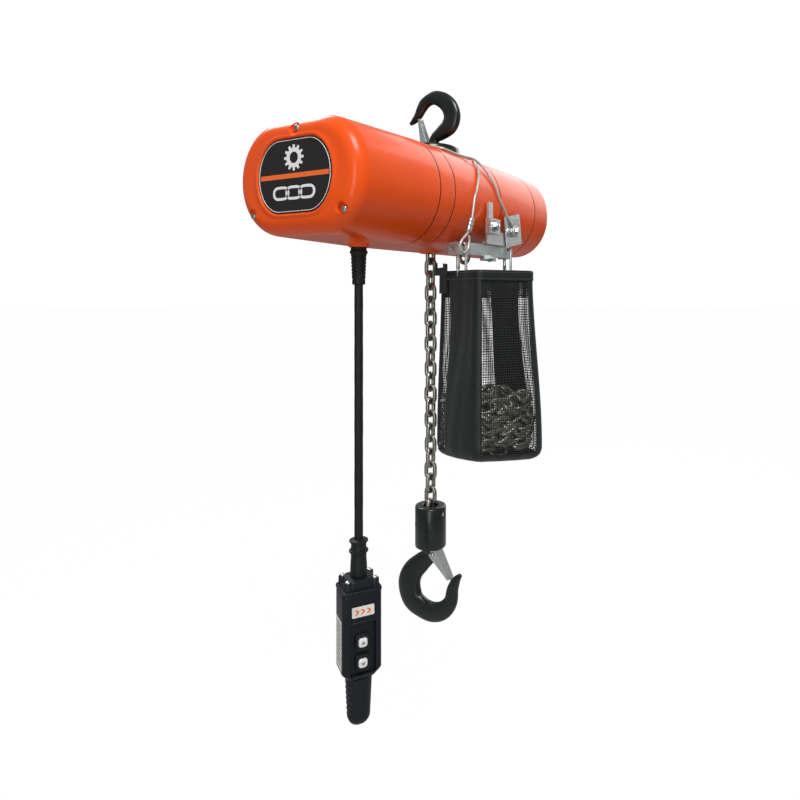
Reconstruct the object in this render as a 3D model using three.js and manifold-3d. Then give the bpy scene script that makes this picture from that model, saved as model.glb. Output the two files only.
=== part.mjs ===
// Electric chain hoist: a die-cast oval body hung from a swivelling top hook, a pocket-wheel chain
// drive, a lower hook block, a two-button pendant on its cable and a fabric bag for the slack chain.
//
// Millimetres, +Z up. The origin is the point of the top hook's bowl that rests on the beam, on the
// load line. +X runs along the body from the control cover to the motor, and the bag hangs on -Y.
import * as THREE from "three";
import { mergeVertices } from "three/addons/utils/BufferGeometryUtils.js";
import Module from "manifold-3d";

const wasm = await Module();
wasm.setup();

// ---------------------------------------------------------------- driving dimensions
const GAP = 0.3; // clearance between pieces that rest on each other

const BODY = {
  axisZ: -147, // height of the body's long axis
  flat: 36.4, // half width of the flat top and bottom
  cornerY: 60.6, // horizontal radius of the elliptical flanks
  cornerZ: 69.25, // vertical radius of the flanks, half the body's height
  wall: 5,
  nearEnd: -273,
  coverSeam: -122,
  frameSeam: -87,
  motorSeam: 42,
  capSeam: 163,
  farEnd: 227,
  seamGap: 1,
  nearFillet: 18,
  farFillet: 13,
  nearTaper: 4, // the control cover is this much smaller all round at its closed end
};
const BODY_TOP = BODY.axisZ + BODY.cornerZ;
const BODY_BOTTOM = BODY.axisZ - BODY.cornerZ;

const PLATE = { flat: 22, roundY: 33.5, roundZ: 41.7, depth: 2.4 }; // nameplate on the near end
const COVER_SCREWS = { top: [0, 54], left: [68.6, -41], right: [-68.6, -41] };

const CHAIN = { pitch: 18.9, wire: 6.35, width: 21 };
const POCKETS = 5; // pockets of the lift wheel: two links to each
const HALF_PITCH_ANGLE = Math.PI / (2 * POCKETS);
const WHEEL = {
  apothem: CHAIN.pitch / (2 * Math.tan(HALF_PITCH_ANGLE)), // link centres run on this circle
  toothTip: 32,
  halfWidth: 14,
};
const LIFT = { y: -WHEEL.apothem, z: BODY.axisZ, shaft: 9 };
const MOTOR = { y: 22, z: BODY.axisZ, shaft: 6, rotor: 30, stator: 60, start: 62, end: 150 };

const SECOND_STAGE = { module: 2, wheel: 36, pinion: 10, from: -103, to: -93 };
const FIRST_STAGE = { module: 1.6, wheel: 30, pinion: 10, from: -118, to: -107 };
const LIMIT_DRIVE = { module: 1.5, teeth: 16, from: -131, to: -125 };

const LINKS = { load: 24, slack: 4 }; // links below the lift wheel on either side
const CHAIN_SPLIT = 0.8; // slack taken up where one length of chain ends and the next begins

const HOOK_SCALE = 0.79; // the top hook is a smaller forging of the same pattern
const SHANK_RADIUS = 10.5;
const TOP_SHANK_END = -96;
const TOP_NUT = { radius: 13, from: -95 };
const NUT = { radius: 15, from: -641, to: -631 };
const LOAD_SEAT_Z = -739.5;
const SLEEVE = { radius: 23, top: -594.2, bottom: -655.7 };
const COLLAR = { radius: 40, bore: 9.4, top: -65.5, edge: 3 };

const CABLE = { x: -188, y: -21, radius: 5.3, bootTop: -223, bootEnd: -268, end: -577 };
const PENDANT = {
  yaw: -34,
  width: 48,
  depth: 38,
  capTop: -620.5,
  boxTop: -636.3,
  boxBottom: -738,
  gripBottom: -799,
  recess: [26, -732, -669],
  buttons: { up: -693.4, down: -717.7 },
};

const BAG = {
  centre: [-7.7, -100.5],
  yaw: -27,
  length: 116,
  width: 114,
  corner: 18,
  top: -248,
  bottom: -497,
  skin: 2.5,
  heapInset: 8, // between the bag's outside and the heap of chain
  heapHeight: 77,
};
const BRACKET = { bottom: -226, top: -209, sheet: 3, left: -56, right: 92, front: -92, rear: -66 };
const SNAP_WIRE = 2.2;
const SNAPS = {
  left: { x: -50, y: -84.5, top: -207.5, bottom: -260, bend: 6 },
  right: { x: 76, y: -90.5, top: -207.5, bottom: -256, bend: 5 },
};
const CLAMP = { x: 4, z: -183.5, front: -107, bolt: 4 }; // the bolt that holds the bracket's post
const TAG = { x: 72, z: -183, tilt: -11, front: -102.4, sheet: 1.6 };

const ROPE = { radius: 2.3, clear: 3.4 }; // clear is from the housing's skin to the rope's middle
const FERRULE = { radius: 4.6, top: [-44, -101.5, -172], bottom: [-50, -99.5, -191] };

// ---------------------------------------------------------------- finishes
const finish = (color, roughness, metalness) =>
  new THREE.MeshStandardMaterial({ color, roughness, metalness });
const ORANGE = finish(0xe2501c, 0.28, 0.1);
const BLACK_ENAMEL = finish(0x141514, 0.35, 0.2);
const FORGED = finish(0x1b1d1d, 0.42, 0.5);
const ZINC = finish(0xb9bdbc, 0.36, 0.9);
const STEEL = finish(0x8d8f8c, 0.35, 0.95);
const CHAIN_STEEL = finish(0x8a857a, 0.38, 0.9);
const COPPER = finish(0xa3592f, 0.45, 0.8);
const PLASTIC = finish(0x1c1e24, 0.5, 0.0);
const GREY_PLASTIC = finish(0x74787c, 0.55, 0.0);
const RUBBER = finish(0x151617, 0.7, 0.0);
const WHITE_PLASTIC = finish(0xe8e8e4, 0.4, 0.0);
const NYLON = finish(0x181b1c, 0.85, 0.0);

// ---------------------------------------------------------------- solids and meshes
function solidOf(geometry) {
  const bare = geometry.clone();
  bare.deleteAttribute("normal");
  bare.deleteAttribute("uv");
  const merged = mergeVertices(bare, 1e-4);
  return new wasm.Manifold(
    new wasm.Mesh({
      numProp: 3,
      vertProperties: new Float32Array(merged.attributes.position.array),
      triVerts: new Uint32Array(merged.index.array),
    }),
  );
}

function meshOf(name, solid, material) {
  const data = solid.getMesh();
  const geometry = new THREE.BufferGeometry();
  geometry.setAttribute("position", new THREE.BufferAttribute(data.vertProperties, 3));
  geometry.setIndex(new THREE.BufferAttribute(data.triVerts, 1));
  geometry.computeVertexNormals();
  const mesh = new THREE.Mesh(geometry, material);
  mesh.name = name;
  return mesh;
}

const join = (first, ...others) => others.reduce((sum, s) => sum.add(s), first);
const cut = (first, ...others) => others.reduce((rest, s) => rest.subtract(s), first);

function box([x0, x1], [y0, y1], [z0, z1]) {
  const geometry = new THREE.BoxGeometry(x1 - x0, y1 - y0, z1 - z0);
  geometry.translate((x0 + x1) / 2, (y0 + y1) / 2, (z0 + z1) / 2);
  return solidOf(geometry);
}

// A cylinder or cone along an axis, from one station to another, centred on the other two axes.
function rod(axis, radius, [from, to], [a, b], segments = 20, endRadius = radius) {
  const geometry = new THREE.CylinderGeometry(endRadius, radius, to - from, segments);
  const middle = (from + to) / 2;
  if (axis === "x") geometry.rotateZ(-Math.PI / 2).translate(middle, a, b);
  if (axis === "y") geometry.translate(a, middle, b);
  if (axis === "z") geometry.rotateX(Math.PI / 2).translate(a, b, middle);
  return solidOf(geometry);
}

const ring = (axis, outer, inner, [from, to], centre, segments = 20) =>
  cut(
    rod(axis, outer, [from, to], centre, segments),
    rod(axis, inner, [from - 1, to + 1], centre, segments),
  );

const hexNut = (radius, bore, run) =>
  cut(rod("z", radius, run, [0, 0], 6), rod("z", bore, [run[0] - 1, run[1] + 1], [0, 0], 20));

// A flat outline in the Y-Z plane extruded along +X.
const ALONG_X = new THREE.Matrix4().makeBasis(
  new THREE.Vector3(0, 1, 0),
  new THREE.Vector3(0, 0, 1),
  new THREE.Vector3(1, 0, 0),
);
function extrudeX(shape, from, to, options = {}) {
  const settings = { depth: to - from, bevelEnabled: false, curveSegments: 8, ...options };
  return new THREE.ExtrudeGeometry(shape, settings).applyMatrix4(ALONG_X).translate(from, 0, 0);
}

// A round bar whose radius changes along a planar path, made from a bent cylinder. The path runs
// in the Y-Z plane; reach(t) gives its radius in that plane and across it.
function bentBar(path, reach, segments, sides) {
  const halfSide = Math.PI / sides; // turned by this much, a flat side faces the bowl
  const reachOut = 1 / Math.cos(halfSide);
  const geometry = new THREE.CylinderGeometry(reachOut, reachOut, 1, sides, segments);
  geometry.rotateY(halfSide);
  const position = geometry.attributes.position;
  const across = new THREE.Vector3(1, 0, 0);
  for (let i = 0; i < position.count; i++) {
    const t = position.getY(i) + 0.5;
    const point = path.getPointAt(t);
    const inward = new THREE.Vector3().crossVectors(path.getTangentAt(t), across).normalize();
    const [inPlane, sideways] = reach(t);
    point.addScaledVector(inward, position.getX(i) * inPlane);
    point.addScaledVector(across, position.getZ(i) * sideways);
    position.setXYZ(i, point.x, point.y, point.z);
  }
  const solid = solidOf(geometry);
  if (solid.volume() > 0) return solid;
  return solidOf(turnedOver(geometry));
}

function turnedOver(geometry) {
  const index = geometry.index;
  for (let i = 0; i < index.count; i += 3) {
    const first = index.getX(i);
    index.setX(i, index.getX(i + 1));
    index.setX(i + 1, first);
  }
  return geometry;
}

// A profile of (radius, height) pairs turned round the Z axis.
function turnedAlongZ(profile, segments) {
  const geometry = new THREE.LatheGeometry(
    profile.map(([r, z]) => new THREE.Vector2(r, z)),
    segments,
  ).rotateX(Math.PI / 2);
  const solid = solidOf(geometry);
  return solid.volume() > 0 ? solid : solidOf(turnedOver(geometry));
}

// The quarter round of a ball above a height, from its crown down, for a turned profile.
const ballEnd = (radius, height, degrees) =>
  degrees
    .map((turn) => THREE.MathUtils.degToRad(turn))
    .map((turn) => [radius * Math.cos(turn), height + radius * Math.sin(turn)]);

// ---------------------------------------------------------------- the oval body
function bodyOutline(inset = 0) {
  const shape = new THREE.Shape();
  const { flat, cornerY, cornerZ, axisZ } = BODY;
  const [ry, rz] = [cornerY - inset, cornerZ - inset];
  shape.absellipse(flat, axisZ, ry, rz, -Math.PI / 2, Math.PI / 2, false, 0);
  shape.absellipse(-flat, axisZ, ry, rz, Math.PI / 2, (3 * Math.PI) / 2, false, 0);
  return shape;
}

// A point on the body's -Y flank: degrees up from the horizontal, standing off the surface.
function onFlank(x, degrees, standOff) {
  const angle = THREE.MathUtils.degToRad(degrees);
  return new THREE.Vector3(
    x,
    -BODY.flat - (BODY.cornerY + standOff) * Math.cos(angle),
    BODY.axisZ + (BODY.cornerZ + standOff) * Math.sin(angle),
  );
}

const bodyTube = (from, to, inset) => solidOf(extrudeX(bodyOutline(inset), from, to));

// The oval block with rounded ends, before it is trimmed to one casting's length.
function roundedBody(from, to, fillet, inset) {
  const bevel = {
    bevelEnabled: true,
    bevelThickness: fillet,
    bevelSize: fillet,
    bevelOffset: -fillet,
    bevelSegments: 2,
  };
  return extrudeX(bodyOutline(inset), from + fillet, to - fillet, bevel);
}

// The control cover narrows towards its closed end.
function tapered(geometry) {
  const position = geometry.attributes.position;
  const length = BODY.coverSeam - BODY.nearEnd;
  for (let i = 0; i < position.count; i++) {
    const share = Math.max(0, (BODY.coverSeam - position.getX(i)) / length);
    const squeeze = BODY.nearTaper * share;
    const [y, z] = [position.getY(i), position.getZ(i) - BODY.axisZ];
    const halfWidth = BODY.flat + BODY.cornerY;
    position.setY(i, y * (1 - squeeze / halfWidth));
    position.setZ(i, BODY.axisZ + z * (1 - squeeze / BODY.cornerZ));
  }
  return geometry;
}

const LONG = 400; // reaches past the body in any direction
const slab = (from, to) => box([from, to], [-LONG, LONG], [BODY.axisZ - LONG, BODY.axisZ + LONG]);

function plateOutline(grow = 0) {
  const shape = new THREE.Shape();
  const [ry, rz] = [PLATE.roundY + grow, PLATE.roundZ + grow];
  shape.absellipse(PLATE.flat, BODY.axisZ, ry, rz, -Math.PI / 2, Math.PI / 2, false, 0);
  shape.absellipse(-PLATE.flat, BODY.axisZ, ry, rz, Math.PI / 2, (3 * Math.PI) / 2, false, 0);
  return shape;
}

function controlCover() {
  const end = BODY.coverSeam - BODY.seamGap / 2;
  const outer = solidOf(tapered(roundedBody(BODY.nearEnd, end + 60, BODY.nearFillet, 0)));
  const inner = solidOf(
    tapered(roundedBody(BODY.nearEnd + 9, end + 60, BODY.nearFillet - 4, BODY.wall)),
  );
  const plateBed = extrudeX(plateOutline(GAP), BODY.nearEnd - 5, BODY.nearEnd + PLATE.depth);
  const boss = rod("z", 13.5, [BODY_BOTTOM - 6, BODY_BOTTOM + 9], [CABLE.x, CABLE.y], 24);
  const cableBore = rod("z", 10.6, [BODY_BOTTOM - 9, BODY_BOTTOM + 14], [CABLE.x, CABLE.y], 24);
  const screwBeds = Object.values(COVER_SCREWS).map(([y, z]) =>
    rod("x", 6.5, [BODY.nearEnd - 1, BODY.nearEnd + 6], [y, BODY.axisZ + z], 12),
  );
  const trim = slab(end, LONG);
  return cut(join(cut(outer, inner), boss), trim, solidOf(plateBed), cableBore, ...screwBeds);
}

const nameplate = () =>
  solidOf(extrudeX(plateOutline(), BODY.nearEnd + GAP, BODY.nearEnd + PLATE.depth - GAP));

function coverScrew([y, z]) {
  const centre = [y, BODY.axisZ + z];
  const [from, to] = [BODY.nearEnd + 1.8, BODY.nearEnd + 6 - GAP];
  const slot = box([from - 1, from + 1.2], [y - 0.6, y + 0.6], [centre[1] - 6, centre[1] + 6]);
  return cut(rod("x", 4.6, [from, to], centre, 14), slot);
}

// Where the three gear shafts cross the back frame and gear housing: [y, z, radius of the shaft].
const layShaft = (() => {
  const toWheel = (SECOND_STAGE.module * (SECOND_STAGE.wheel + SECOND_STAGE.pinion)) / 2;
  const toMotor = (FIRST_STAGE.module * (FIRST_STAGE.wheel + FIRST_STAGE.pinion)) / 2;
  const apart = MOTOR.y - LIFT.y;
  const along = (toWheel ** 2 - toMotor ** 2 + apart ** 2) / (2 * apart);
  return { y: LIFT.y + along, z: LIFT.z + Math.sqrt(toWheel ** 2 - along ** 2), shaft: 5 };
})();

const shaftHole = (shaft, [from, to]) =>
  rod("x", shaft.shaft + 0.4, [from - 1, to + 1], [shaft.y, shaft.z], 24);

function backFrame() {
  const [from, to] = [BODY.coverSeam + BODY.seamGap / 2, BODY.frameSeam - BODY.seamGap / 2];
  const web = [to - 4.3, to];
  const shell = cut(bodyTube(from, to, 0), bodyTube(from - 1, web[0], BODY.wall));
  return cut(shell, ...[LIFT, MOTOR, layShaft].map((shaft) => shaftHole(shaft, web)));
}

const BEARING = { outer: 15, width: 9, wallFrom: 30 };

function gearHousing() {
  const [from, to] = [BODY.frameSeam + BODY.seamGap / 2, BODY.motorSeam - BODY.seamGap / 2];
  const shell = cut(bodyTube(from, to, 0), bodyTube(from - 1, BEARING.wallFrom, BODY.wall));
  const wall = [BEARING.wallFrom, to];
  const bearingSeat = rod("x", BEARING.outer + GAP, [to - 10, to + 1], [MOTOR.y, MOTOR.z], 24);
  const underside = [BODY_BOTTOM - 1, BODY_BOTTOM + BODY.wall + 1];
  const loadSlot = rod("z", 12.4, underside, [0, 0], 20);
  const slackSlot = rod("z", 12.4, [underside[0], BODY_BOTTOM + 30], [0, 2 * LIFT.y], 20);
  const hookBore = rod("z", 9, [BODY_TOP - BODY.wall - 1, BODY_TOP + 1], [0, 0], 20);
  const holes = [shaftHole(LIFT, wall), shaftHole(MOTOR, wall)];
  return cut(shell, bearingSeat, loadSlot, slackSlot, hookBore, ...holes);
}

function motorHousing() {
  const [from, to] = [BODY.motorSeam + BODY.seamGap / 2, BODY.capSeam - BODY.seamGap / 2];
  return cut(bodyTube(from, to, 0), bodyTube(from - 1, to + 1, BODY.wall));
}

const REAR_BEARING_X = 206;

function motorCover() {
  const from = BODY.capSeam + BODY.seamGap / 2;
  const outer = solidOf(roundedBody(from - 60, BODY.farEnd, BODY.farFillet, 0));
  const inner = solidOf(roundedBody(from - 60, BODY.farEnd - 5, BODY.farFillet - 4, BODY.wall));
  const centre = [MOTOR.y, MOTOR.z];
  const seat = ring("x", 20, BEARING.outer + GAP, [REAR_BEARING_X, BODY.farEnd - 4], centre);
  return join(cut(outer, inner, slab(-LONG, from)), seat);
}

// ---------------------------------------------------------------- suspension and load hooks
// The hook's centre line and its radius in the plane of the hook, from the neck round to the tip,
// measured from the bottom of the bowl. The tip is on -Y.
const HOOK_LINE = [
  [0, 83.2, 10],
  [0, 72, 10.8],
  [-16, 56, 14],
  [-32, 39, 16.5],
  [-38.5, 20, 18.5],
  [-32, -2, 18],
  [-14, -12, 15.5],
  [4, -14.2, 14.6],
  [22, -7.5, 13],
  [35, 8, 10.5],
  [39, 28, 8.5],
  [45, 42, 6],
  [50.6, 49, 3.6],
];
const LATCH_PIVOT = [9, 75]; // out from the neck and up from the bowl
const LATCH_END = [38, 46];

// A radius read off the hook's line at a share of its length.
function hookRadius(path, t) {
  const here = path.getUtoTmapping(t, 0) * (HOOK_LINE.length - 1);
  const before = Math.min(Math.floor(here), HOOK_LINE.length - 2);
  const share = here - before;
  return HOOK_LINE[before][2] * (1 - share) + HOOK_LINE[before + 1][2] * share;
}

// shankTop is the height the straight neck reaches above the bowl.
function hook(shankTop) {
  const points = HOOK_LINE.map(([out, up]) => new THREE.Vector3(0, -out, up));
  const path = new THREE.CatmullRomCurve3(points, false, "centripetal");
  const bar = bentBar(
    path,
    (t) => {
      const radius = hookRadius(path, t);
      return [radius, Math.min(radius, 0.3 * radius + 4.6)];
    },
    17,
    8,
  );
  const shank = rod("z", SHANK_RADIUS, [81, shankTop], [0, 0], 18);
  const [out, up] = LATCH_PIVOT;
  const boss = rod("x", 5.5, [-7.4, 7.4], [-out, up], 14);
  const trunnion = rod("x", 2.4, [-11.5, 11.5], [-out, up], 12);
  const seat = box([-4, 4], [-5, 5], [0, 4]);
  return cut(join(bar, shank, boss, trunnion), seat);
}

// A folded sheet-metal gate: two ears round the hook's boss and a web that closes the throat.
function latch() {
  const [out, up] = LATCH_PIVOT;
  const run = [LATCH_END[0] - out, LATCH_END[1] - up];
  const length = Math.hypot(...run);
  const web = box([-9.8, 9.8], [-7.6, -6], [-length, 3]);
  const ears = [-1, 1].map((side) => {
    const reach = side < 0 ? [-9.8, -8.2] : [8.2, 9.8];
    return join(
      box(reach, [-7.6, 3.5], [-length * 0.8, 0]),
      rod("x", 6.2, reach, [0, 0], 10),
      box(reach, [-7.6, 0], [-1, 3]),
    );
  });
  const bore = rod("x", 2.9, [-12, 12], [0, 0], 12);
  const slope = THREE.MathUtils.radToDeg(Math.atan2(run[0], -run[1]));
  return cut(join(web, ...ears), bore)
    .rotate([-slope, 0, 0])
    .translate([0, -out, up]);
}

const upended = (solid) => solid.scale([HOOK_SCALE, HOOK_SCALE, HOOK_SCALE]).rotate([180, 0, 0]);
const suspensionHook = () => upended(hook(-TOP_SHANK_END / HOOK_SCALE));
const suspensionLatch = () => upended(latch());
const suspensionNut = () =>
  hexNut(TOP_NUT.radius, SHANK_RADIUS * HOOK_SCALE + GAP, [TOP_NUT.from, BODY_TOP - BODY.wall - 2]);

const suspensionCollar = () =>
  turnedAlongZ(
    [
      [COLLAR.bore, BODY_TOP + GAP],
      [COLLAR.radius, BODY_TOP + GAP],
      [COLLAR.radius, COLLAR.top - COLLAR.edge],
      [COLLAR.radius - COLLAR.edge, COLLAR.top],
      [COLLAR.bore, COLLAR.top],
      [COLLAR.bore, BODY_TOP + GAP],
    ],
    24,
  );

const toLoadHook = (solid) => solid.translate([0, 0, LOAD_SEAT_Z]);
const loadHook = () => toLoadHook(hook(NUT.to - 1 - LOAD_SEAT_Z));
const loadLatch = () => toLoadHook(latch());
const loadNut = () => hexNut(NUT.radius, SHANK_RADIUS + GAP, [NUT.from, NUT.to]);

const PIN_RADIUS = 3;
const LAST_LINK_END = BODY.axisZ - CHAIN.pitch * (LINKS.load + 0.5) + CHAIN_SPLIT;
const PIN_CENTRE = [0, LAST_LINK_END + PIN_RADIUS + 0.6];
function hookBlock() {
  const { radius, top, bottom } = SLEEVE;
  const sleeve = rod("z", radius, [bottom, top], [0, 0], 32);
  const shankBore = rod("z", 10.9, [bottom - 1, NUT.from], [0, 0], 24);
  const nutRoom = rod("z", NUT.radius + 1.5, [NUT.from - 2, NUT.to + 1.5], [0, 0], 24);
  const chainSlot = box([-12, 12], [-4.2, 4.2], [top - 28, top + 1]);
  const crossSlot = box([-4.2, 4.2], [-12, 12], [top - 12, top + 1]);
  const pinBore = rod("y", PIN_RADIUS + 0.4, [-radius - 1, radius + 1], PIN_CENTRE, 14);
  const nutWindow = rod("y", 4, [-radius - 1, 0], [0, (NUT.from + NUT.to) / 2], 14);
  return cut(sleeve, shankBore, nutRoom, chainSlot, crossSlot, pinBore, nutWindow);
}
const chainPin = () =>
  rod("y", PIN_RADIUS, [-SLEEVE.radius + 1, SLEEVE.radius - 1], PIN_CENTRE, 12);

// ---------------------------------------------------------------- chain and lift wheel
// One round-wire link standing along Z; upright links lie in the Y-Z plane, flat ones in X-Z.
function chainLink(upright) {
  const radius = (CHAIN.width - CHAIN.wire) / 2;
  const bite = 0.2; // neighbouring links press into each other by this much
  const stretch = CHAIN.pitch / 2 - bite - (radius - CHAIN.wire / 2);
  const geometry = new THREE.TorusGeometry(radius, CHAIN.wire / 2, 6, 6);
  geometry.scale(1, 1 / Math.sin(Math.PI / 3), 1); // the sides of a six-sided ring lie this much in
  const position = geometry.attributes.position;
  for (let i = 0; i < position.count; i++) {
    const x = position.getX(i);
    if (Math.abs(x) > 1e-6) position.setX(i, x + Math.sign(x) * stretch);
  }
  geometry.rotateY(Math.PI / 2).rotateZ(upright ? 0 : Math.PI / 2);
  return solidOf(geometry);
}

function straightChain(count, y, firstUpright) {
  const links = [];
  for (let k = 1; k <= count; k++) {
    const upright = (k % 2 === 1) === firstUpright;
    const z = BODY.axisZ - CHAIN.pitch * k + CHAIN_SPLIT;
    links.push(chainLink(upright).translate([0, y, z]));
  }
  return join(...links);
}

// The links held in the wheel's pockets, from the load side over the top to the slack side.
function chainOnWheel() {
  const links = [];
  for (let k = 0; k <= POCKETS; k++) {
    const angle = 2 * k * HALF_PITCH_ANGLE;
    const y = LIFT.y + WHEEL.apothem * Math.cos(angle);
    const z = LIFT.z + WHEEL.apothem * Math.sin(angle);
    const turn = THREE.MathUtils.radToDeg(angle);
    links.push(chainLink(k % 2 === 1).rotate([turn, 0, 0]).translate([0, y, z]));
  }
  return join(...links);
}

function gearSolid(teeth, module, [from, to], centre, phase) {
  const radius = (teeth * module) / 2;
  const [root, tip] = [radius - 1.1 * module, radius + 0.7 * module];
  const step = (2 * Math.PI) / teeth;
  const flank = [
    [root, -0.3],
    [tip, -0.12],
    [tip, 0.12],
    [root, 0.3],
  ];
  const shape = new THREE.Shape();
  for (let k = 0; k < teeth; k++) {
    for (const [r, share] of flank) {
      const angle = phase + (k + share) * step;
      const point = [centre[0] + r * Math.cos(angle), centre[1] + r * Math.sin(angle)];
      if (k === 0 && share === flank[0][1]) shape.moveTo(...point);
      else shape.lineTo(...point);
    }
  }
  shape.closePath();
  return solidOf(extrudeX(shape, from, to));
}

const bearing = (a, b) => Math.atan2(b.z - a.z, b.y - a.y); // direction from one shaft to another
const gapPhase = (teeth, direction) => direction + Math.PI + Math.PI / teeth;

function liftWheel() {
  const centre = [LIFT.y, LIFT.z];
  const { toothTip, halfWidth, apothem } = WHEEL;
  const floor = apothem - CHAIN.wire / 2 - 0.5;
  const hub = rod("x", floor, [-halfWidth, halfWidth], centre, 30);
  const teeth = [];
  for (let k = 0; k < POCKETS; k++) {
    const outline = new THREE.Shape();
    outline.moveTo(floor - 3, -2.9);
    outline.lineTo(toothTip, -1.9);
    outline.lineTo(toothTip, 1.9);
    outline.lineTo(floor - 3, 2.9);
    outline.closePath();
    const tooth = solidOf(extrudeX(outline, -halfWidth, halfWidth));
    const angle = THREE.MathUtils.radToDeg((2 * k + 1) * 2 * HALF_PITCH_ANGLE);
    teeth.push(tooth.rotate([angle, 0, 0]).translate([0, ...centre]));
  }
  const groove = ring("x", toothTip + 2, apothem - CHAIN.width / 2 - 0.6, [-4, 4], centre, 30);
  const shaft = rod("x", LIFT.shaft, [LIMIT_DRIVE.from - 1, 39], centre, 24);
  const { teeth: count, module, from, to } = LIMIT_DRIVE;
  const drive = gearSolid(count, module, [from, to], centre, -Math.PI / 2);
  return join(cut(join(hub, ...teeth), groove), shaft, drive);
}

function outputGear() {
  const { module, wheel, from, to } = SECOND_STAGE;
  const phase = bearing(LIFT, layShaft);
  const centre = [LIFT.y, LIFT.z];
  const bore = rod("x", LIFT.shaft + 0.1, [from - 1, to + 1], centre, 24);
  return cut(gearSolid(wheel, module, [from, to], centre, phase), bore);
}

function intermediateGear() {
  const centre = [layShaft.y, layShaft.z];
  const pinionPhase = gapPhase(SECOND_STAGE.pinion, bearing(LIFT, layShaft));
  const pinionRun = [FIRST_STAGE.to - 1, SECOND_STAGE.to];
  const pinion = gearSolid(SECOND_STAGE.pinion, SECOND_STAGE.module, pinionRun, centre, pinionPhase);
  const wheelRun = [FIRST_STAGE.from, FIRST_STAGE.to];
  const wheelPhase = bearing(layShaft, MOTOR);
  const wheel = gearSolid(FIRST_STAGE.wheel, FIRST_STAGE.module, wheelRun, centre, wheelPhase);
  return join(wheel, pinion, rod("x", layShaft.shaft, [-120, -80], centre, 18));
}

const BRAKE = { coil: [-160, -146], armature: [-144.6, -140.6], disc: [-138, -134] };

function motorRotor() {
  const centre = [MOTOR.y, MOTOR.z];
  const shaft = rod("x", MOTOR.shaft, [BRAKE.disc[0] - 1, REAR_BEARING_X + 10], centre, 18);
  const core = rod("x", MOTOR.rotor, [MOTOR.start, MOTOR.end], centre, 24);
  const phase = gapPhase(FIRST_STAGE.pinion, bearing(layShaft, MOTOR));
  const run = [FIRST_STAGE.from - 1, FIRST_STAGE.to + 1];
  const pinion = gearSolid(FIRST_STAGE.pinion, FIRST_STAGE.module, run, centre, phase);
  return join(shaft, core, pinion);
}

function motorStator() {
  const centre = [MOTOR.y, MOTOR.z];
  const air = MOTOR.rotor + 0.8;
  const core = ring("x", MOTOR.stator, air, [MOTOR.start, MOTOR.end], centre, 24);
  const windings = ring("x", 52, air + 4, [MOTOR.start - 8, MOTOR.end + 12], centre, 24);
  return join(core, windings);
}

const motorBearing = (from) =>
  ring("x", BEARING.outer, MOTOR.shaft + 0.1, [from, from + BEARING.width], [MOTOR.y, MOTOR.z]);

const brakeDisc = () =>
  ring("x", 30, MOTOR.shaft + 0.1, BRAKE.disc, [MOTOR.y, MOTOR.z], 24);
const brakeArmature = () =>
  ring("x", 32, MOTOR.shaft + 2, BRAKE.armature, [MOTOR.y, MOTOR.z], 24);

// The coil is held by two bent lugs that reach back to the frame.
function brakeCoil() {
  const [from, to] = BRAKE.coil;
  const coil = ring("x", 30, 12, [from, to], [MOTOR.y, MOTOR.z], 24);
  const lugs = [-20, 20].map((offset) => {
    const height = [MOTOR.z + offset - 5, MOTOR.z + offset + 5];
    const ear = box([from, from + 6], [MOTOR.y + 20, MOTOR.y + 44], height);
    const leg = box([from, BODY.coverSeam], [MOTOR.y + 36, MOTOR.y + 44], height);
    return join(ear, leg);
  });
  return join(coil, ...lugs);
}

const LIMIT_SCREW = {
  y: LIFT.y,
  z: LIFT.z - LIMIT_DRIVE.module * LIMIT_DRIVE.teeth,
  radius: 5,
  end: -215,
  nuts: { upper: -165, lower: -197 },
};

function limitScrew() {
  const centre = [LIMIT_SCREW.y, LIMIT_SCREW.z];
  const { teeth, module, from, to } = LIMIT_DRIVE;
  const gear = gearSolid(teeth, module, [from, to], centre, Math.PI / 2 + Math.PI / teeth);
  return join(gear, rod("x", LIMIT_SCREW.radius, [LIMIT_SCREW.end, to], centre, 16));
}

function limitNut(x) {
  const { y, z, radius } = LIMIT_SCREW;
  const block = box([x - 5, x + 5], [y - 9, y + 9], [z - 9, z + 9]);
  return cut(block, rod("x", radius + GAP, [x - 6, x + 6], [y, z], 16));
}

const limitGuide = () => {
  const { y, z, end } = LIMIT_SCREW;
  const floor = box([end - 3, BODY.coverSeam], [y - 14, y + 14], [z - 17, z - 14.5]);
  const fence = box([end - 3, BODY.coverSeam - 12], [y - 14, y - 11], [z - 17, z + 8]);
  return join(floor, fence);
};

function chainGuide() {
  const run = [BODY_BOTTOM + BODY.wall + GAP, BODY_BOTTOM + 26];
  const block = box([-20, 20], [-36, 15], run);
  return cut(block, rod("z", 11.6, [run[0] - 1, run[1] + 1], [0, 0], 20));
}
const chainStripper = () =>
  join(
    box([-3, 3], [LIFT.y - 5, LIFT.y + 5], [BODY_BOTTOM + 26 + GAP, LIFT.z - 21]),
    box([-12, 12], [LIFT.y - 6, LIFT.y + 6], [BODY_BOTTOM + 26 + GAP, BODY_BOTTOM + 30]),
  );

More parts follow.
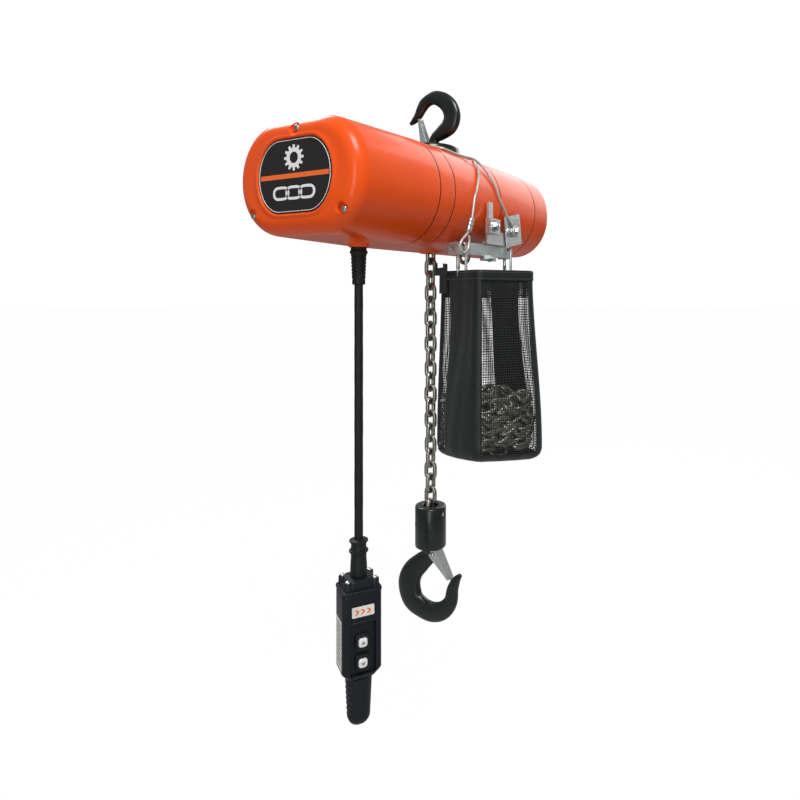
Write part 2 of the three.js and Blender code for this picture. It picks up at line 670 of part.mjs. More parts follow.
// ---------------------------------------------------------------- electrical panel
const PANEL = { from: -221, to: -218.6 };
function panelPlate() {
  const { axisZ } = BODY;
  const plate = box([PANEL.from, PANEL.to], [-72, 72], [axisZ - 36, axisZ + 34]);
  const posts = [-67, 67].map((y) =>
    rod("x", 4, [PANEL.to - 1, BODY.coverSeam], [y, axisZ + 4], 12),
  );
  const inset = box([PANEL.from, PANEL.to], [-14, 14], [axisZ - 37, axisZ - 24]);
  return cut(join(plate, ...posts), inset);
}
function contactor() {
  const z = BODY.axisZ;
  const base = box([-240, PANEL.from - GAP], [10, 66], [z - 30, z + 34]);
  const head = box([-258, -239], [16, 60], [z - 22, z + 26]);
  const slots = [24, 38, 52].map((y) => box([-260, -252], [y - 3, y + 3], [z - 16, z + 20]));
  return cut(join(base, head), ...slots);
}
function transformer() {
  const z = BODY.axisZ;
  const core = box([-250, PANEL.from - GAP], [-64, -12], [z - 28, z + 30]);
  const coil = box([-258, -228], [-54, -22], [z - 20, z + 22]);
  return join(core, coil);
}

// ---------------------------------------------------------------- pendant control
const cableInlet = () => {
  const run = [BODY_BOTTOM + 5, BODY_BOTTOM + 13];
  return ring("z", 10.2, 6.4, run, [CABLE.x, CABLE.y], 20);
};

// The rubber boot ends in a ball that tilts in the cover's boss.
function cableBoot() {
  const { bootTop, bootEnd, x, y } = CABLE;
  const ball = 9.8;
  const crown = [[0, bootTop + ball], ...ballEnd(ball, bootTop, [60, 35, 10])];
  const taper = [[9.5, bootTop - 3], [8.9, bootTop - 20], [8, bootEnd], [0, bootEnd]];
  const socket = rod("z", 6.5, [bootEnd - 1, bootEnd + 7], [0, 0], 18);
  return cut(turnedAlongZ([...crown, ...taper], 20), socket).translate([x, y, 0]);
}

function pendantCable() {
  const { radius, bootEnd, end } = CABLE;
  const crown = [[0, bootEnd + radius], ...ballEnd(radius, bootEnd, [60, 30, 0])];
  return turnedAlongZ([...crown, [radius, end - 20], [0, end - 20]], 16);
}

function pendantGland() {
  const { end } = CABLE;
  const profile = [
    [5.9, end + 1],
    [10, end + 1],
    [11.2, end - 2],
    [9.2, end - 5],
    [9.2, end - 11],
    [11.4, end - 13],
    [9.6, end - 17],
    [10.4, PENDANT.capTop + 1],
    [5.9, PENDANT.capTop + 1],
    [5.9, end + 1],
  ];
  return turnedAlongZ(profile, 20);
}

function roundedRect(width, depth, corner) {
  const shape = new THREE.Shape();
  const [x, y] = [width / 2, depth / 2];
  shape.absarc(x - corner, y - corner, corner, 0, Math.PI / 2, false);
  shape.absarc(-x + corner, y - corner, corner, Math.PI / 2, Math.PI, false);
  shape.absarc(-x + corner, -y + corner, corner, Math.PI, (3 * Math.PI) / 2, false);
  shape.absarc(x - corner, -y + corner, corner, (3 * Math.PI) / 2, 2 * Math.PI, false);
  return shape;
}
const column = (width, depth, corner, [from, to], options = {}) =>
  solidOf(
    new THREE.ExtrudeGeometry(roundedRect(width, depth, corner), {
      depth: to - from,
      bevelEnabled: false,
      curveSegments: 4,
      ...options,
    }).translate(0, 0, from),
  );

function pendantCap() {
  const { width, depth, capTop, boxTop } = PENDANT;
  const plate = column(width, depth, 7, [boxTop + GAP, capTop - 6]);
  const crown = column(width - 14, depth - 8, 8, [boxTop + 5, capTop]);
  const ears = [-1, 1].map((side) =>
    rod("z", 4.6, [boxTop + 4, capTop - 1], [side * (width / 2 - 6), -depth / 2 + 7], 12),
  );
  const gland = rod("z", 11, [boxTop - 1, capTop + 2], [0, 0], 20);
  return cut(join(plate, crown, ...ears), gland);
}

const BUTTON_RADIUS = 5.8;
function pendantBody() {
  const { width, depth, boxTop, boxBottom, recess, buttons } = PENDANT;
  const front = -depth / 2;
  const block = column(width, depth, 7, [boxBottom, boxTop]);
  const [recessWidth, low, high] = recess;
  const pocket = box([-recessWidth / 2, recessWidth / 2], [front - 1, front + 3], [low, high]);
  const room = box([-18, 18], [front + 8, depth / 2 - 4], [boxBottom + 6, boxTop + 1]);
  const bores = Object.values(buttons).map((z) =>
    rod("y", BUTTON_RADIUS + GAP, [front, front + 12], [0, z], 20),
  );
  return cut(block, pocket, room, ...bores);
}

function pendantButton(z) {
  const front = -PENDANT.depth / 2;
  const stem = rod("y", BUTTON_RADIUS, [front - 0.8, front + 9], [0, z], 20);
  const stop = box([-8, 8], [front + 9, front + 11], [z - 6, z + 6]);
  return join(stem, stop);
}

function pendantGrip() {
  const { boxBottom, gripBottom } = PENDANT;
  const round = 12;
  const block = column(30, 29, 11, [gripBottom + round, boxBottom - GAP - round], {
    bevelEnabled: true,
    bevelThickness: round,
    bevelSize: 9,
    bevelOffset: -9,
    bevelSegments: 2,
  });
  const neck = column(28, 27, 10, [boxBottom - 14, boxBottom - GAP]);
  const grooves = [-752, -763, -774, -785].map((z) => rod("y", 2, [-17, 17], [-16, z], 8));
  return cut(join(block, neck), ...grooves);
}

// ---------------------------------------------------------------- chain bag and its bracket
// The bag's own frame: long side on X, short side on Y, heights as in the part.
const BAG_ROUND = 12; // radius of the bag's lower edges and of the heap of chain in it
const roundedColumn = (width, depth, corner, [from, to]) =>
  column(width, depth, corner, [from + BAG_ROUND, to - BAG_ROUND], {
    bevelEnabled: true,
    bevelThickness: BAG_ROUND,
    bevelSize: BAG_ROUND,
    bevelOffset: -BAG_ROUND,
    bevelSegments: 2,
  });

function chainBag() {
  const { length, width, corner, top, bottom, skin } = BAG;
  const pouch = (inset) => {
    const run = [bottom + inset, top + 52];
    return roundedColumn(length - 2 * inset, width - 2 * inset, corner - inset, run);
  };
  return cut(pouch(0), pouch(skin), box([-LONG, LONG], [-LONG, LONG], [top, top + LONG]));
}

function storedChain() {
  const { length, width, bottom, heapInset, heapHeight } = BAG;
  const run = [bottom + 5, bottom + 5 + heapHeight];
  return roundedColumn(length - 2 * heapInset, width - 2 * heapInset, 16, run);
}

// An oval snap link of round wire hanging in the plane that faces along the bag's long side.
function snapLink({ top, bottom, bend }) {
  const stretch = (top - bottom) / 2 - bend - SNAP_WIRE;
  const geometry = new THREE.TorusGeometry(bend, SNAP_WIRE, 6, 12);
  const position = geometry.attributes.position;
  for (let i = 0; i < position.count; i++) {
    const x = position.getX(i);
    if (Math.abs(x) > 1e-6) position.setX(i, x + Math.sign(x) * stretch);
  }
  return solidOf(geometry.rotateY(Math.PI / 2)).translate([0, 0, (top + bottom) / 2]);
}

// A sheet-metal strap folded round the flank: left leg, chamfered corner, front bar, right leg.
function bracketBar() {
  const { left, right, front, rear, sheet, bottom, top } = BRACKET;
  const outside = [
    [left, rear],
    [left, front + 10],
    [left + 14, front],
    [right - 8, front],
    [right, front + 8],
    [right, rear],
  ];
  const inside = [
    [right - sheet, rear],
    [right - sheet, front + 9.4],
    [right - 9.2, front + sheet],
    [left + 15, front + sheet],
    [left + sheet, front + 11.5],
    [left + sheet, rear],
  ];
  const outline = new THREE.Shape(outside.concat(inside).map((p) => new THREE.Vector2(...p)));
  const settings = { depth: top - bottom, bevelEnabled: false };
  const strap = solidOf(new THREE.ExtrudeGeometry(outline, settings).translate(0, 0, bottom));
  const earHole = rod("x", 3.2, [left - 4, left + 6], [rear - 7, (top + bottom) / 2], 14);
  const notches = Object.values(SNAPS).map(({ x, y }) =>
    box([x - 5, x + 5], [y - 8, y + 8], [top - 5.5, top + 1]),
  );
  const tab = box([0, 36], [front, front + 8], [bottom - 6, bottom + 1]);
  return cut(join(strap, tab), earHole, ...notches);
}

// Clamp block and upright that fix the bracket to the seam bolt on the flank.
function bracketPost() {
  const { x, z, front, bolt } = CLAMP;
  const upright = box([x - 11, x + 1], [front + 4, front + 8], [z + 7.5, z + 33.5]);
  const block = box([x - 13, x + 16], [front, front + 8.5], [z - 10.5, z + 10.5]);
  const shelf = box([x - 8, x + 66], [front + 8.1, front + 11.4], [z - 23.5, z - 6.5]);
  const foot = box([x - 8, x + 66], [front + 8.1, BRACKET.front + 2], [z - 25.1, z - 21.5]);
  const boltHole = rod("y", bolt + GAP, [front - 3, front + 12], [x, z], 14);
  return cut(join(upright, block, shelf, foot), boltHole);
}

const clampBolt = () => {
  const { x, z, front, bolt } = CLAMP;
  return join(
    rod("y", bolt + 3, [front - 5, front - GAP], [x, z], 6),
    rod("y", bolt, [front - 1, front + 8.1], [x, z], 12),
  );
};

const tagPlate = () => {
  const sheet = box([-26, 26], [TAG.front, TAG.front + TAG.sheet], [-24, 22]);
  const hole = rod("y", 3.8, [TAG.front - 2, TAG.front + 4], [0, -2], 12);
  return cut(sheet, hole).rotate([0, TAG.tilt, 0]).translate([TAG.x, 0, TAG.z]);
};

const ropeBolt = () => {
  const centre = [TAG.x, TAG.z - 2];
  const head = rod("y", 6, [TAG.front - 9.6, TAG.front - 6.8], centre, 6);
  return join(head, rod("y", 3, [TAG.front - 8, TAG.front + 8.4], centre, 10));
};

// ---------------------------------------------------------------- safety rope
function ropeAlong(points, steps) {
  const path = new THREE.CatmullRomCurve3(points, false, "centripetal");
  const section = new THREE.Shape();
  section.absarc(0, 0, ROPE.radius, 0, 2 * Math.PI, false);
  const settings = { steps, curveSegments: 3, extrudePath: path, bevelEnabled: false };
  return solidOf(new THREE.ExtrudeGeometry(section, settings));
}

// A point beside the suspension collar, at so many degrees round it from +X.
function besideCollar(degrees) {
  const angle = THREE.MathUtils.degToRad(degrees);
  const reach = COLLAR.radius + ROPE.clear + 1.4;
  return new THREE.Vector3(reach * Math.cos(angle), reach * Math.sin(angle), COLLAR.top - 8.1);
}

// The rope climbs the flank from its ferrule, goes round the collar and comes down to the tag.
function safetyRope() {
  const { clear } = ROPE;
  const line = [
    new THREE.Vector3(-50, -99.4, -194),
    new THREE.Vector3(...FERRULE.top),
    onFlank(-14, 12, clear + 1),
    onFlank(14, 38, clear),
    onFlank(30, 60, clear),
    ...[-75, -110, -150, 170, 125, 80, 35, -5].map(besideCollar),
    onFlank(49, 74, clear),
    onFlank(49, 48, clear),
    onFlank(56, 18, clear),
    new THREE.Vector3(63, -105.4, -150),
    new THREE.Vector3(TAG.x, -105.8, TAG.z + 4),
  ];
  const eye = [
    [-50.2, -99.3, -193],
    [-55.5, -100, -204],
    [-56.5, -99, -216],
    [-51, -98, -222],
    [-45.5, -98, -216],
    [-46, -99, -204],
    [-50, -99.3, -194],
  ].map((p) => new THREE.Vector3(...p));
  return join(ropeAlong(line, 52), ropeAlong(eye, 14));
}

function ropeFerrule() {
  const [top, bottom] = [FERRULE.top, FERRULE.bottom].map((p) => new THREE.Vector3(...p));
  const section = new THREE.Shape();
  section.absarc(0, 0, FERRULE.radius, 0, 2 * Math.PI, false);
  const extrudePath = new THREE.LineCurve3(top, bottom);
  const settings = { steps: 1, curveSegments: 6, extrudePath, bevelEnabled: false };
  return solidOf(new THREE.ExtrudeGeometry(section, settings));
}

// ---------------------------------------------------------------- assembly
const hoist = new THREE.Group();
const rope = safetyRope();

hoist.add(
  meshOf("control_cover", controlCover(), ORANGE),
  meshOf("nameplate", nameplate(), BLACK_ENAMEL),
  ...Object.entries(COVER_SCREWS).map(([side, place]) =>
    meshOf("cover_screw_" + side, coverScrew(place), ZINC),
  ),
  meshOf("back_frame", backFrame(), ORANGE),
  meshOf("gear_housing", gearHousing(), ORANGE),
  meshOf("motor_housing", motorHousing(), ORANGE),
  meshOf("motor_cover", motorCover(), ORANGE),
  meshOf("suspension_collar", suspensionCollar(), BLACK_ENAMEL),
  meshOf("motor_stator", motorStator(), COPPER),
  meshOf("motor_bearing_front", motorBearing(BODY.motorSeam - 10), STEEL),
  meshOf("motor_bearing_rear", motorBearing(REAR_BEARING_X), STEEL),
  meshOf("chain_guide", chainGuide(), STEEL),
  meshOf("chain_stripper", chainStripper(), STEEL),
  meshOf("panel_plate", panelPlate(), ZINC),
  meshOf("contactor", contactor(), GREY_PLASTIC),
  meshOf("transformer", transformer(), COPPER),
  meshOf("limit_guide", limitGuide(), STEEL),
  meshOf("brake_coil", brakeCoil(), COPPER),
  meshOf("cable_inlet", cableInlet(), RUBBER),
  meshOf("bracket_bar", bracketBar(), ZINC),
  meshOf("bracket_post", bracketPost(), ZINC),
  meshOf("clamp_bolt", clampBolt(), ZINC),
  meshOf("tag_plate", tagPlate(), ZINC),
  meshOf("rope_bolt", ropeBolt(), ZINC),
  meshOf("safety_rope", rope, STEEL),
  meshOf("rope_ferrule", cut(ropeFerrule(), rope), ZINC),
);

hoist.add(
  meshOf("suspension_hook", suspensionHook(), FORGED),
  meshOf("suspension_hook_nut", suspensionNut(), STEEL),
  meshOf("suspension_latch", suspensionLatch(), ZINC),
);

hoist.add(
  meshOf("lift_wheel", liftWheel(), STEEL),
  meshOf("output_gear", outputGear(), STEEL),
  meshOf("intermediate_gear", intermediateGear(), STEEL),
  meshOf("motor_rotor", motorRotor(), STEEL),
  meshOf("brake_disc", brakeDisc(), STEEL),
  meshOf("brake_armature", brakeArmature(), STEEL),
  meshOf("limit_screw", limitScrew(), STEEL),
  meshOf("limit_nut_upper", limitNut(LIMIT_SCREW.nuts.upper), GREY_PLASTIC),
  meshOf("limit_nut_lower", limitNut(LIMIT_SCREW.nuts.lower), GREY_PLASTIC),
);

hoist.add(
  meshOf("load_chain", straightChain(LINKS.load, 0, true), CHAIN_STEEL),
  meshOf("chain_on_wheel", chainOnWheel(), CHAIN_STEEL),
  meshOf("slack_chain", straightChain(LINKS.slack, 2 * LIFT.y, false), CHAIN_STEEL),
  meshOf("hook_block", hookBlock(), FORGED),
  meshOf("chain_pin", chainPin(), STEEL),
  meshOf("load_hook", loadHook(), FORGED),
  meshOf("load_hook_nut", loadNut(), STEEL),
  meshOf("load_latch", loadLatch(), ZINC),
);

const pendant = new THREE.Group();
pendant.position.set(CABLE.x, CABLE.y, 0);
pendant.rotation.z = THREE.MathUtils.degToRad(PENDANT.yaw);
pendant.add(
  meshOf("pendant_cable", pendantCable(), RUBBER),
  meshOf("pendant_gland", pendantGland(), RUBBER),
  meshOf("pendant_cap", pendantCap(), PLASTIC),
  meshOf("pendant_body", pendantBody(), PLASTIC),
  meshOf("pendant_grip", pendantGrip(), PLASTIC),
  meshOf("button_up", pendantButton(PENDANT.buttons.up), WHITE_PLASTIC),
  meshOf("button_down", pendantButton(PENDANT.buttons.down), WHITE_PLASTIC),
);
hoist.add(meshOf("cable_boot", cableBoot(), RUBBER), pendant);

const bag = new THREE.Group();
bag.position.set(...BAG.centre, 0);
bag.rotation.z = THREE.MathUtils.degToRad(BAG.yaw);
bag.add(
  meshOf("chain_bag", chainBag(), NYLON),
  meshOf("stored_chain", storedChain(), CHAIN_STEEL),
);
hoist.add(bag);

for (const [name, place] of Object.entries(SNAPS)) {
  const link = meshOf("bag_hook_" + name, snapLink(place), ZINC);
  link.position.set(place.x, place.y, 0);
  hoist.add(link);
}

export default hoist;
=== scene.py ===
"""An electric chain hoist, hung from its top hook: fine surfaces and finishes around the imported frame."""

import math
import random

import bmesh
import bpy
import numpy as np
from mathutils import Matrix, Vector


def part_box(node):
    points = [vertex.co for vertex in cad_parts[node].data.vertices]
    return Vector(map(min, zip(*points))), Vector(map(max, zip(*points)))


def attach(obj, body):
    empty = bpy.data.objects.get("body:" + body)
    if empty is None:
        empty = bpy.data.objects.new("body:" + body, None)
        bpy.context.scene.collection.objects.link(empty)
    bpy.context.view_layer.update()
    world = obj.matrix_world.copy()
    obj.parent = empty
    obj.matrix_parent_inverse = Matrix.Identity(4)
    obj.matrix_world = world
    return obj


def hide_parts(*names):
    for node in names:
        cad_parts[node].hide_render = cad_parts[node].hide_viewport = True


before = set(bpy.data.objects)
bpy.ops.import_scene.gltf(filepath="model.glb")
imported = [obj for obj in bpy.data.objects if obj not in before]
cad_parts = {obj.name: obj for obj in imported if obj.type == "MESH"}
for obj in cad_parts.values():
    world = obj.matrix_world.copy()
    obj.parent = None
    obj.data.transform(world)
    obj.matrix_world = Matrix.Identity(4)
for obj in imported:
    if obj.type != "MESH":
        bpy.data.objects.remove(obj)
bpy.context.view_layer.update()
MM = 0.001
FULL, QUARTER = 2 * math.pi, math.pi / 2


def box_mm(node):
    """A CAD node's lowest and highest corners, in millimetres."""
    low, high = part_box(node)
    return Vector(low) / MM, Vector(high) / MM


def middle(node):
    low, high = box_mm(node)
    return (low + high) / 2


# ---------------------------------------------------------------- finishes
LOOKS = {}


def wire(tree, source, target):
    tree.links.new(source, target)


def add(tree, kind, **values):
    node = tree.nodes.new("ShaderNode" + kind)
    for key, value in values.items():
        if key in node.inputs:
            node.inputs[key].default_value = value
        else:
            setattr(node, key, value)
    return node


def ramp(tree, source, low, high, start=0.3, end=0.7):
    """Two colours or greys mixed by a noise value."""
    node = add(tree, "ValToRGB")
    for stop, position, color in zip(node.color_ramp.elements, (start, end), (low, high)):
        stop.position = position
        stop.color = (*color, 1)
    wire(tree, source, node.inputs[0])
    return node.outputs[0]


def look(name, color, rough, metal=0.0, coat=0.0, patch=60, vary=0.12, grain=900,
         bump=0.15, bump_mm=0.05, worn=None, sheen=0.0, specular=0.5):
    """A finish with slow colour drift, fine grain in its relief and gloss, and paler worn edges."""
    material = bpy.data.materials.new(name)
    material.use_nodes = True
    tree = material.node_tree
    shader = tree.nodes["Principled BSDF"]
    for field, value in (("Metallic", metal), ("Coat Weight", coat), ("Coat Roughness", 0.1),
                         ("Sheen Weight", sheen), ("Specular IOR Level", specular)):
        shader.inputs[field].default_value = value
    place = add(tree, "TexCoord").outputs["Object"]
    drift = add(tree, "TexNoise", Scale=patch, Detail=4.0)
    fine = add(tree, "TexNoise", Scale=grain, Detail=3.0, Roughness=0.6)
    wire(tree, place, drift.inputs["Vector"])
    wire(tree, place, fine.inputs["Vector"])
    shade = [c * (1 - vary) for c in color]
    light = [min(1.0, c * (1 + vary)) for c in color]
    base = ramp(tree, drift.outputs["Fac"], shade, light)
    if worn:
        edge = add(tree, "NewGeometry").outputs["Pointiness"]
        broken = add(tree, "Math", operation="MULTIPLY")
        wire(tree, ramp(tree, edge, (0, 0, 0), (1, 1, 1), 0.54, 0.62), broken.inputs[0])
        wire(tree, fine.outputs["Fac"], broken.inputs[1])
        mix = add(tree, "Mix", data_type="RGBA")
        wire(tree, broken.outputs[0], mix.inputs["Factor"])
        wire(tree, base, mix.inputs["A"])
        mix.inputs["B"].default_value = (*worn, 1)
        base = mix.outputs["Result"]
    wire(tree, base, shader.inputs["Base Color"])
    gloss = ramp(tree, fine.outputs["Fac"], [rough * 0.85] * 3, [min(1.0, rough * 1.18)] * 3)
    wire(tree, gloss, shader.inputs["Roughness"])
    relief = add(tree, "Bump", Strength=bump, Distance=bump_mm * MM)
    wire(tree, fine.outputs["Fac"], relief.inputs["Height"])
    wire(tree, relief.outputs["Normal"], shader.inputs["Normal"])
    LOOKS[name] = material
    return tree, shader, place, relief


look("orange_enamel", (0.80, 0.082, 0.006), 0.3, coat=0.16, patch=9, vary=0.06,
     grain=420, bump=0.07, bump_mm=0.1, worn=(0.85, 0.16, 0.03), specular=0.2)
look("black_enamel", (0.006, 0.006, 0.006), 0.2, coat=0.25, grain=500, bump=0.06,
     specular=0.35)
look("forged_black", (0.004, 0.009, 0.007), 0.3, metal=0.1, coat=0.1, patch=45,
     vary=0.35, grain=240, bump=0.08, bump_mm=0.12, worn=(0.04, 0.045, 0.041))
look("zinc", (0.50, 0.55, 0.54), 0.34, metal=0.85, patch=70, vary=0.16, grain=700,
     bump=0.18, worn=(0.8, 0.8, 0.78))
look("bright_zinc", (0.58, 0.62, 0.61), 0.25, metal=0.95, patch=90, vary=0.1, bump=0.1)
look("steel", (0.42, 0.42, 0.4), 0.32, metal=0.95, patch=50, vary=0.15)
look("chain_steel", (0.31, 0.305, 0.265), 0.3, metal=0.95, patch=120, vary=0.3,
     grain=700, bump=0.25, bump_mm=0.08, worn=(0.62, 0.58, 0.5))
look("dark_chain", (0.36, 0.37, 0.30), 0.36, metal=0.75, patch=160, vary=0.35,
     grain=700, bump=0.25, bump_mm=0.08, worn=(0.55, 0.5, 0.42))
look("rope_steel", (0.62, 0.60, 0.56), 0.42, metal=0.75, patch=90, bump=0.1)
look("copper", (0.45, 0.16, 0.06), 0.4, metal=0.9, patch=80, vary=0.2)
look("black_plastic", (0.005, 0.0065, 0.011), 0.42, patch=40, vary=0.2,
     grain=1500, bump=0.3, worn=(0.02, 0.022, 0.03), specular=0.28)
look("grey_plastic", (0.2, 0.21, 0.23), 0.5, vary=0.1, grain=1300)
look("black_rubber", (0.007, 0.0085, 0.0085), 0.5, patch=50, vary=0.25,
     grain=1100, bump=0.35, bump_mm=0.08, specular=0.3)
look("white_plastic", (0.74, 0.74, 0.72), 0.26, coat=0.3, patch=200, vary=0.05,
     bump=0.06)
look("white_ink", (0.78, 0.78, 0.78), 0.35, patch=150, vary=0.04, bump=0.05)
look("orange_ink", (0.83, 0.14, 0.02), 0.35, patch=150, vary=0.06, bump=0.05)
look("label_paper", (0.70, 0.68, 0.63), 0.5, patch=120, vary=0.1, bump=0.1)
look("label_grey", (0.22, 0.22, 0.23), 0.5, patch=120, vary=0.1, bump=0.1)
look("label_orange", (0.78, 0.17, 0.03), 0.42, patch=120, vary=0.1, bump=0.1)
look("black_mesh", (0.005, 0.0065, 0.0065), 0.6, vary=0.3, grain=2500, bump=0.5,
     bump_mm=0.12, sheen=0.06)
look("thread", (0.05, 0.055, 0.058), 0.55, patch=300, vary=0.2, sheen=0.3)


def webbing_look():
    """Woven nylon tape: fine ribs across the tape on top of the thread grain."""
    tree, shader, place, relief = look(
        "black_webbing", (0.006, 0.0105, 0.0098), 0.48, patch=14, vary=0.28,
        grain=1900, bump=0.3, bump_mm=0.1, sheen=0.05, specular=0.36)
    rib = add(tree, "TexWave", Scale=320.0, Distortion=0.6, bands_direction="Z")
    wire(tree, place, rib.inputs["Vector"])
    ribs = add(tree, "Bump", Strength=0.35, Distance=0.12 * MM)
    wire(tree, rib.outputs["Fac"], ribs.inputs["Height"])
    wire(tree, relief.outputs["Normal"], ribs.inputs["Normal"])
    wire(tree, ribs.outputs["Normal"], shader.inputs["Normal"])


webbing_look()


# ---------------------------------------------------------------- mesh building
def mesh_object(name, shells, place):
    """A linked object from (vertices, faces) shells in millimetres, moved by a matrix."""
    verts, faces = [], []
    for shell_verts, shell_faces in shells:
        start = len(verts)
        verts.extend((place @ Vector(v)) * MM for v in shell_verts)
        faces.extend(tuple(i + start for i in face) for face in shell_faces)
    data = bpy.data.meshes.new(name)
    data.from_pydata(verts, [], faces)
    thing = bpy.data.objects.new(name, data)
    bpy.context.collection.objects.link(thing)
    return thing


def piece(name, shells, finish, body, *nodes, sharp=34, place=Matrix(), bevel=0.0):
    """An object made of shells, riding on a body and standing for CAD nodes."""
    thing = mesh_object(name, shells, place)
    thing.data.materials.append(LOOKS[finish])
    tidy(thing, sharp, bevel)
    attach(thing, body)
    if nodes:
        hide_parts(*nodes)
    return thing


def on_housing(name, shells, finish, *nodes, sharp=50, bevel=0.0):
    return piece(name, shells, finish, "hoist_frame", *nodes, sharp=sharp, bevel=bevel)


def tidy(thing, sharp=34, bevel=0.0):
    """Faces out, smooth apart from creases, with hard edges rounded by bevel millimetres."""
    form = bmesh.new()
    form.from_mesh(thing.data)
    bmesh.ops.remove_doubles(form, verts=form.verts, dist=1e-6)
    bmesh.ops.recalc_face_normals(form, faces=form.faces)
    if bevel:
        hard = [e for e in form.edges if e.calc_face_angle(0) > math.radians(sharp)]
        bmesh.ops.bevel(form, geom=hard, offset=bevel * MM, segments=2, affect="EDGES",
                        clamp_overlap=True)
    for face in form.faces:
        face.smooth = True
    for edge in form.edges:
        edge.smooth = edge.calc_face_angle(0) < math.radians(sharp)
    form.to_mesh(thing.data)
    form.free()


def thicken(thing, thick, open_weave=0.0):
    """Gives a sheet its thickness, after cutting each of its cells open if it is a weave."""
    form = bmesh.new()
    form.from_mesh(thing.data)
    if open_weave:
        holes = list(form.faces)
        bmesh.ops.inset_individual(form, faces=holes, thickness=open_weave * MM)
        bmesh.ops.delete(form, geom=holes, context="FACES")
    bmesh.ops.solidify(form, geom=form.faces, thickness=thick * MM)
    for face in form.faces:
        face.smooth = True
    form.to_mesh(thing.data)
    form.free()


def carve(thing, shells, sharp=34, place=Matrix()):
    """Cuts closed shells out of a piece and puts its creases right again."""
    cutter = mesh_object("cutter", shells, place)
    tidy(cutter)
    modifier = thing.modifiers.new("carve", "BOOLEAN")
    modifier.object = cutter
    modifier.operation = "DIFFERENCE"
    modifier.solver = "EXACT"
    modifier.use_self = True
    bpy.context.view_layer.update()
    shaped = thing.evaluated_get(bpy.context.evaluated_depsgraph_get())
    result = bpy.data.meshes.new_from_object(shaped)
    thing.modifiers.clear()
    thing.data = result
    bpy.data.objects.remove(cutter)
    tidy(thing, sharp)


def loft(rings, ends=True, around=False):
    """Quads between rings of equal length; ends closes the first and last ring with a fan."""
    count = len(rings[0])
    verts = [tuple(p) for ring in rings for p in ring]
    faces = []
    for i in range(len(rings) if around else len(rings) - 1):
        a, b = i * count, ((i + 1) % len(rings)) * count
        for j in range(count):
            k = (j + 1) % count
            faces.append((a + j, a + k, b + k, b + j))
    if ends and not around:
        for ring, start in ((rings[0], 0), (rings[-1], (len(rings) - 1) * count)):
            verts.append(tuple(np.mean(np.array(ring, float), axis=0)))
            for j in range(count):
                faces.append((start + j, start + (j + 1) % count, len(verts) - 1))
    return verts, faces


def circle(radius, sides=12, turn=0.0):
    angles = [turn + FULL * k / sides for k in range(sides)]
    return [(radius * math.cos(a), radius * math.sin(a)) for a in angles]


def facing_along(axis, a, b, c):
    """The point (a, b) across an axis and c along it."""
    return {"x": (c, a, b), "y": (a, c, b), "z": (a, b, c)}[axis]


def lathe(profile, axis="z", centre=(0, 0), sides=40, closed=False, turn=0.0):
    """A turned form from (radius, station) pairs; closed joins the last pair to the first."""
    rings = [[facing_along(axis, centre[0] + u, centre[1] + v, station)
              for u, v in circle(radius, sides, turn)] for radius, station in profile]
    return loft(rings, ends=not closed, around=closed)


def ball_nose(radius, station, height, steps=5):
    """The (radius, station) pairs of a domed end, from its rim to its crown."""
    pairs = []
    for k in range(steps + 1):
        a = QUARTER * k / steps
        pairs.append((max(0.02, radius * math.cos(a)), station + height * math.sin(a)))
    return pairs


def run_length(points):
    """The distance along a line of points, at each point."""
    return np.concatenate([[0], np.cumsum(np.linalg.norm(np.diff(points, axis=0), axis=1))])


def spline(points, count, closed=False):
    """Evenly spaced points on a centripetal Catmull-Rom curve; extra columns ride along."""
    pts = np.array(points, float)
    if closed:
        pts = np.vstack([pts[-1], pts, pts[0], pts[1]])
    else:
        pts = np.vstack([2 * pts[0] - pts[1], pts, 2 * pts[-1] - pts[-2]])

    def mix(low, high, i, j):
        return (t[j] - s) / (t[j] - t[i]) * low + (s - t[i]) / (t[j] - t[i]) * high

    fine = []
    for i in range(1, len(pts) - 2):
        p0, p1, p2, p3 = pts[i - 1:i + 3]
        t = np.cumsum([0] + [max(1e-6, np.linalg.norm((b - a)[:3])) ** 0.5
                             for a, b in ((p0, p1), (p1, p2), (p2, p3))])
        for s in np.linspace(t[1], t[2], 24, endpoint=False):
            a1, a2, a3 = mix(p0, p1, 0, 1), mix(p1, p2, 1, 2), mix(p2, p3, 2, 3)
            fine.append(mix(mix(a1, a2, 0, 2), mix(a2, a3, 1, 3), 1, 2))
    fine.append(pts[-2])
    fine = np.array(fine)
    along = run_length(fine[:, :3])
    wanted = np.linspace(0, along[-1], count, endpoint=not closed)
    return np.stack([np.interp(wanted, along, fine[:, c]) for c in range(fine.shape[1])], axis=1)


def sweep(path, section, closed=False, up=None):
    """A skin round a path: section(step) gives the (u, v) points across it. up keeps v's direction."""
    path = np.array(path, float)[:, :3]
    if closed:
        tangents = np.roll(path, -1, axis=0) - np.roll(path, 1, axis=0)
    else:
        tangents = np.gradient(path, axis=0)
    tangents /= np.linalg.norm(tangents, axis=1)[:, None]
    side = np.cross(tangents[0], up if up is not None else (0.31, 0.17, 0.93))
    rings = []
    for i, (point, tangent) in enumerate(zip(path, tangents)):
        side = np.cross(tangent, up) if up is not None else side - tangent * np.dot(side, tangent)
        side = side / np.linalg.norm(side)
        other = np.cross(side, tangent)
        rings.append([point + side * u + other * v for u, v in section(i)])
    return loft(rings, ends=not closed, around=closed)


def tube(path, radius, sides=12, closed=False):
    ring = circle(radius, sides)
    return sweep(path, lambda i: ring, closed)


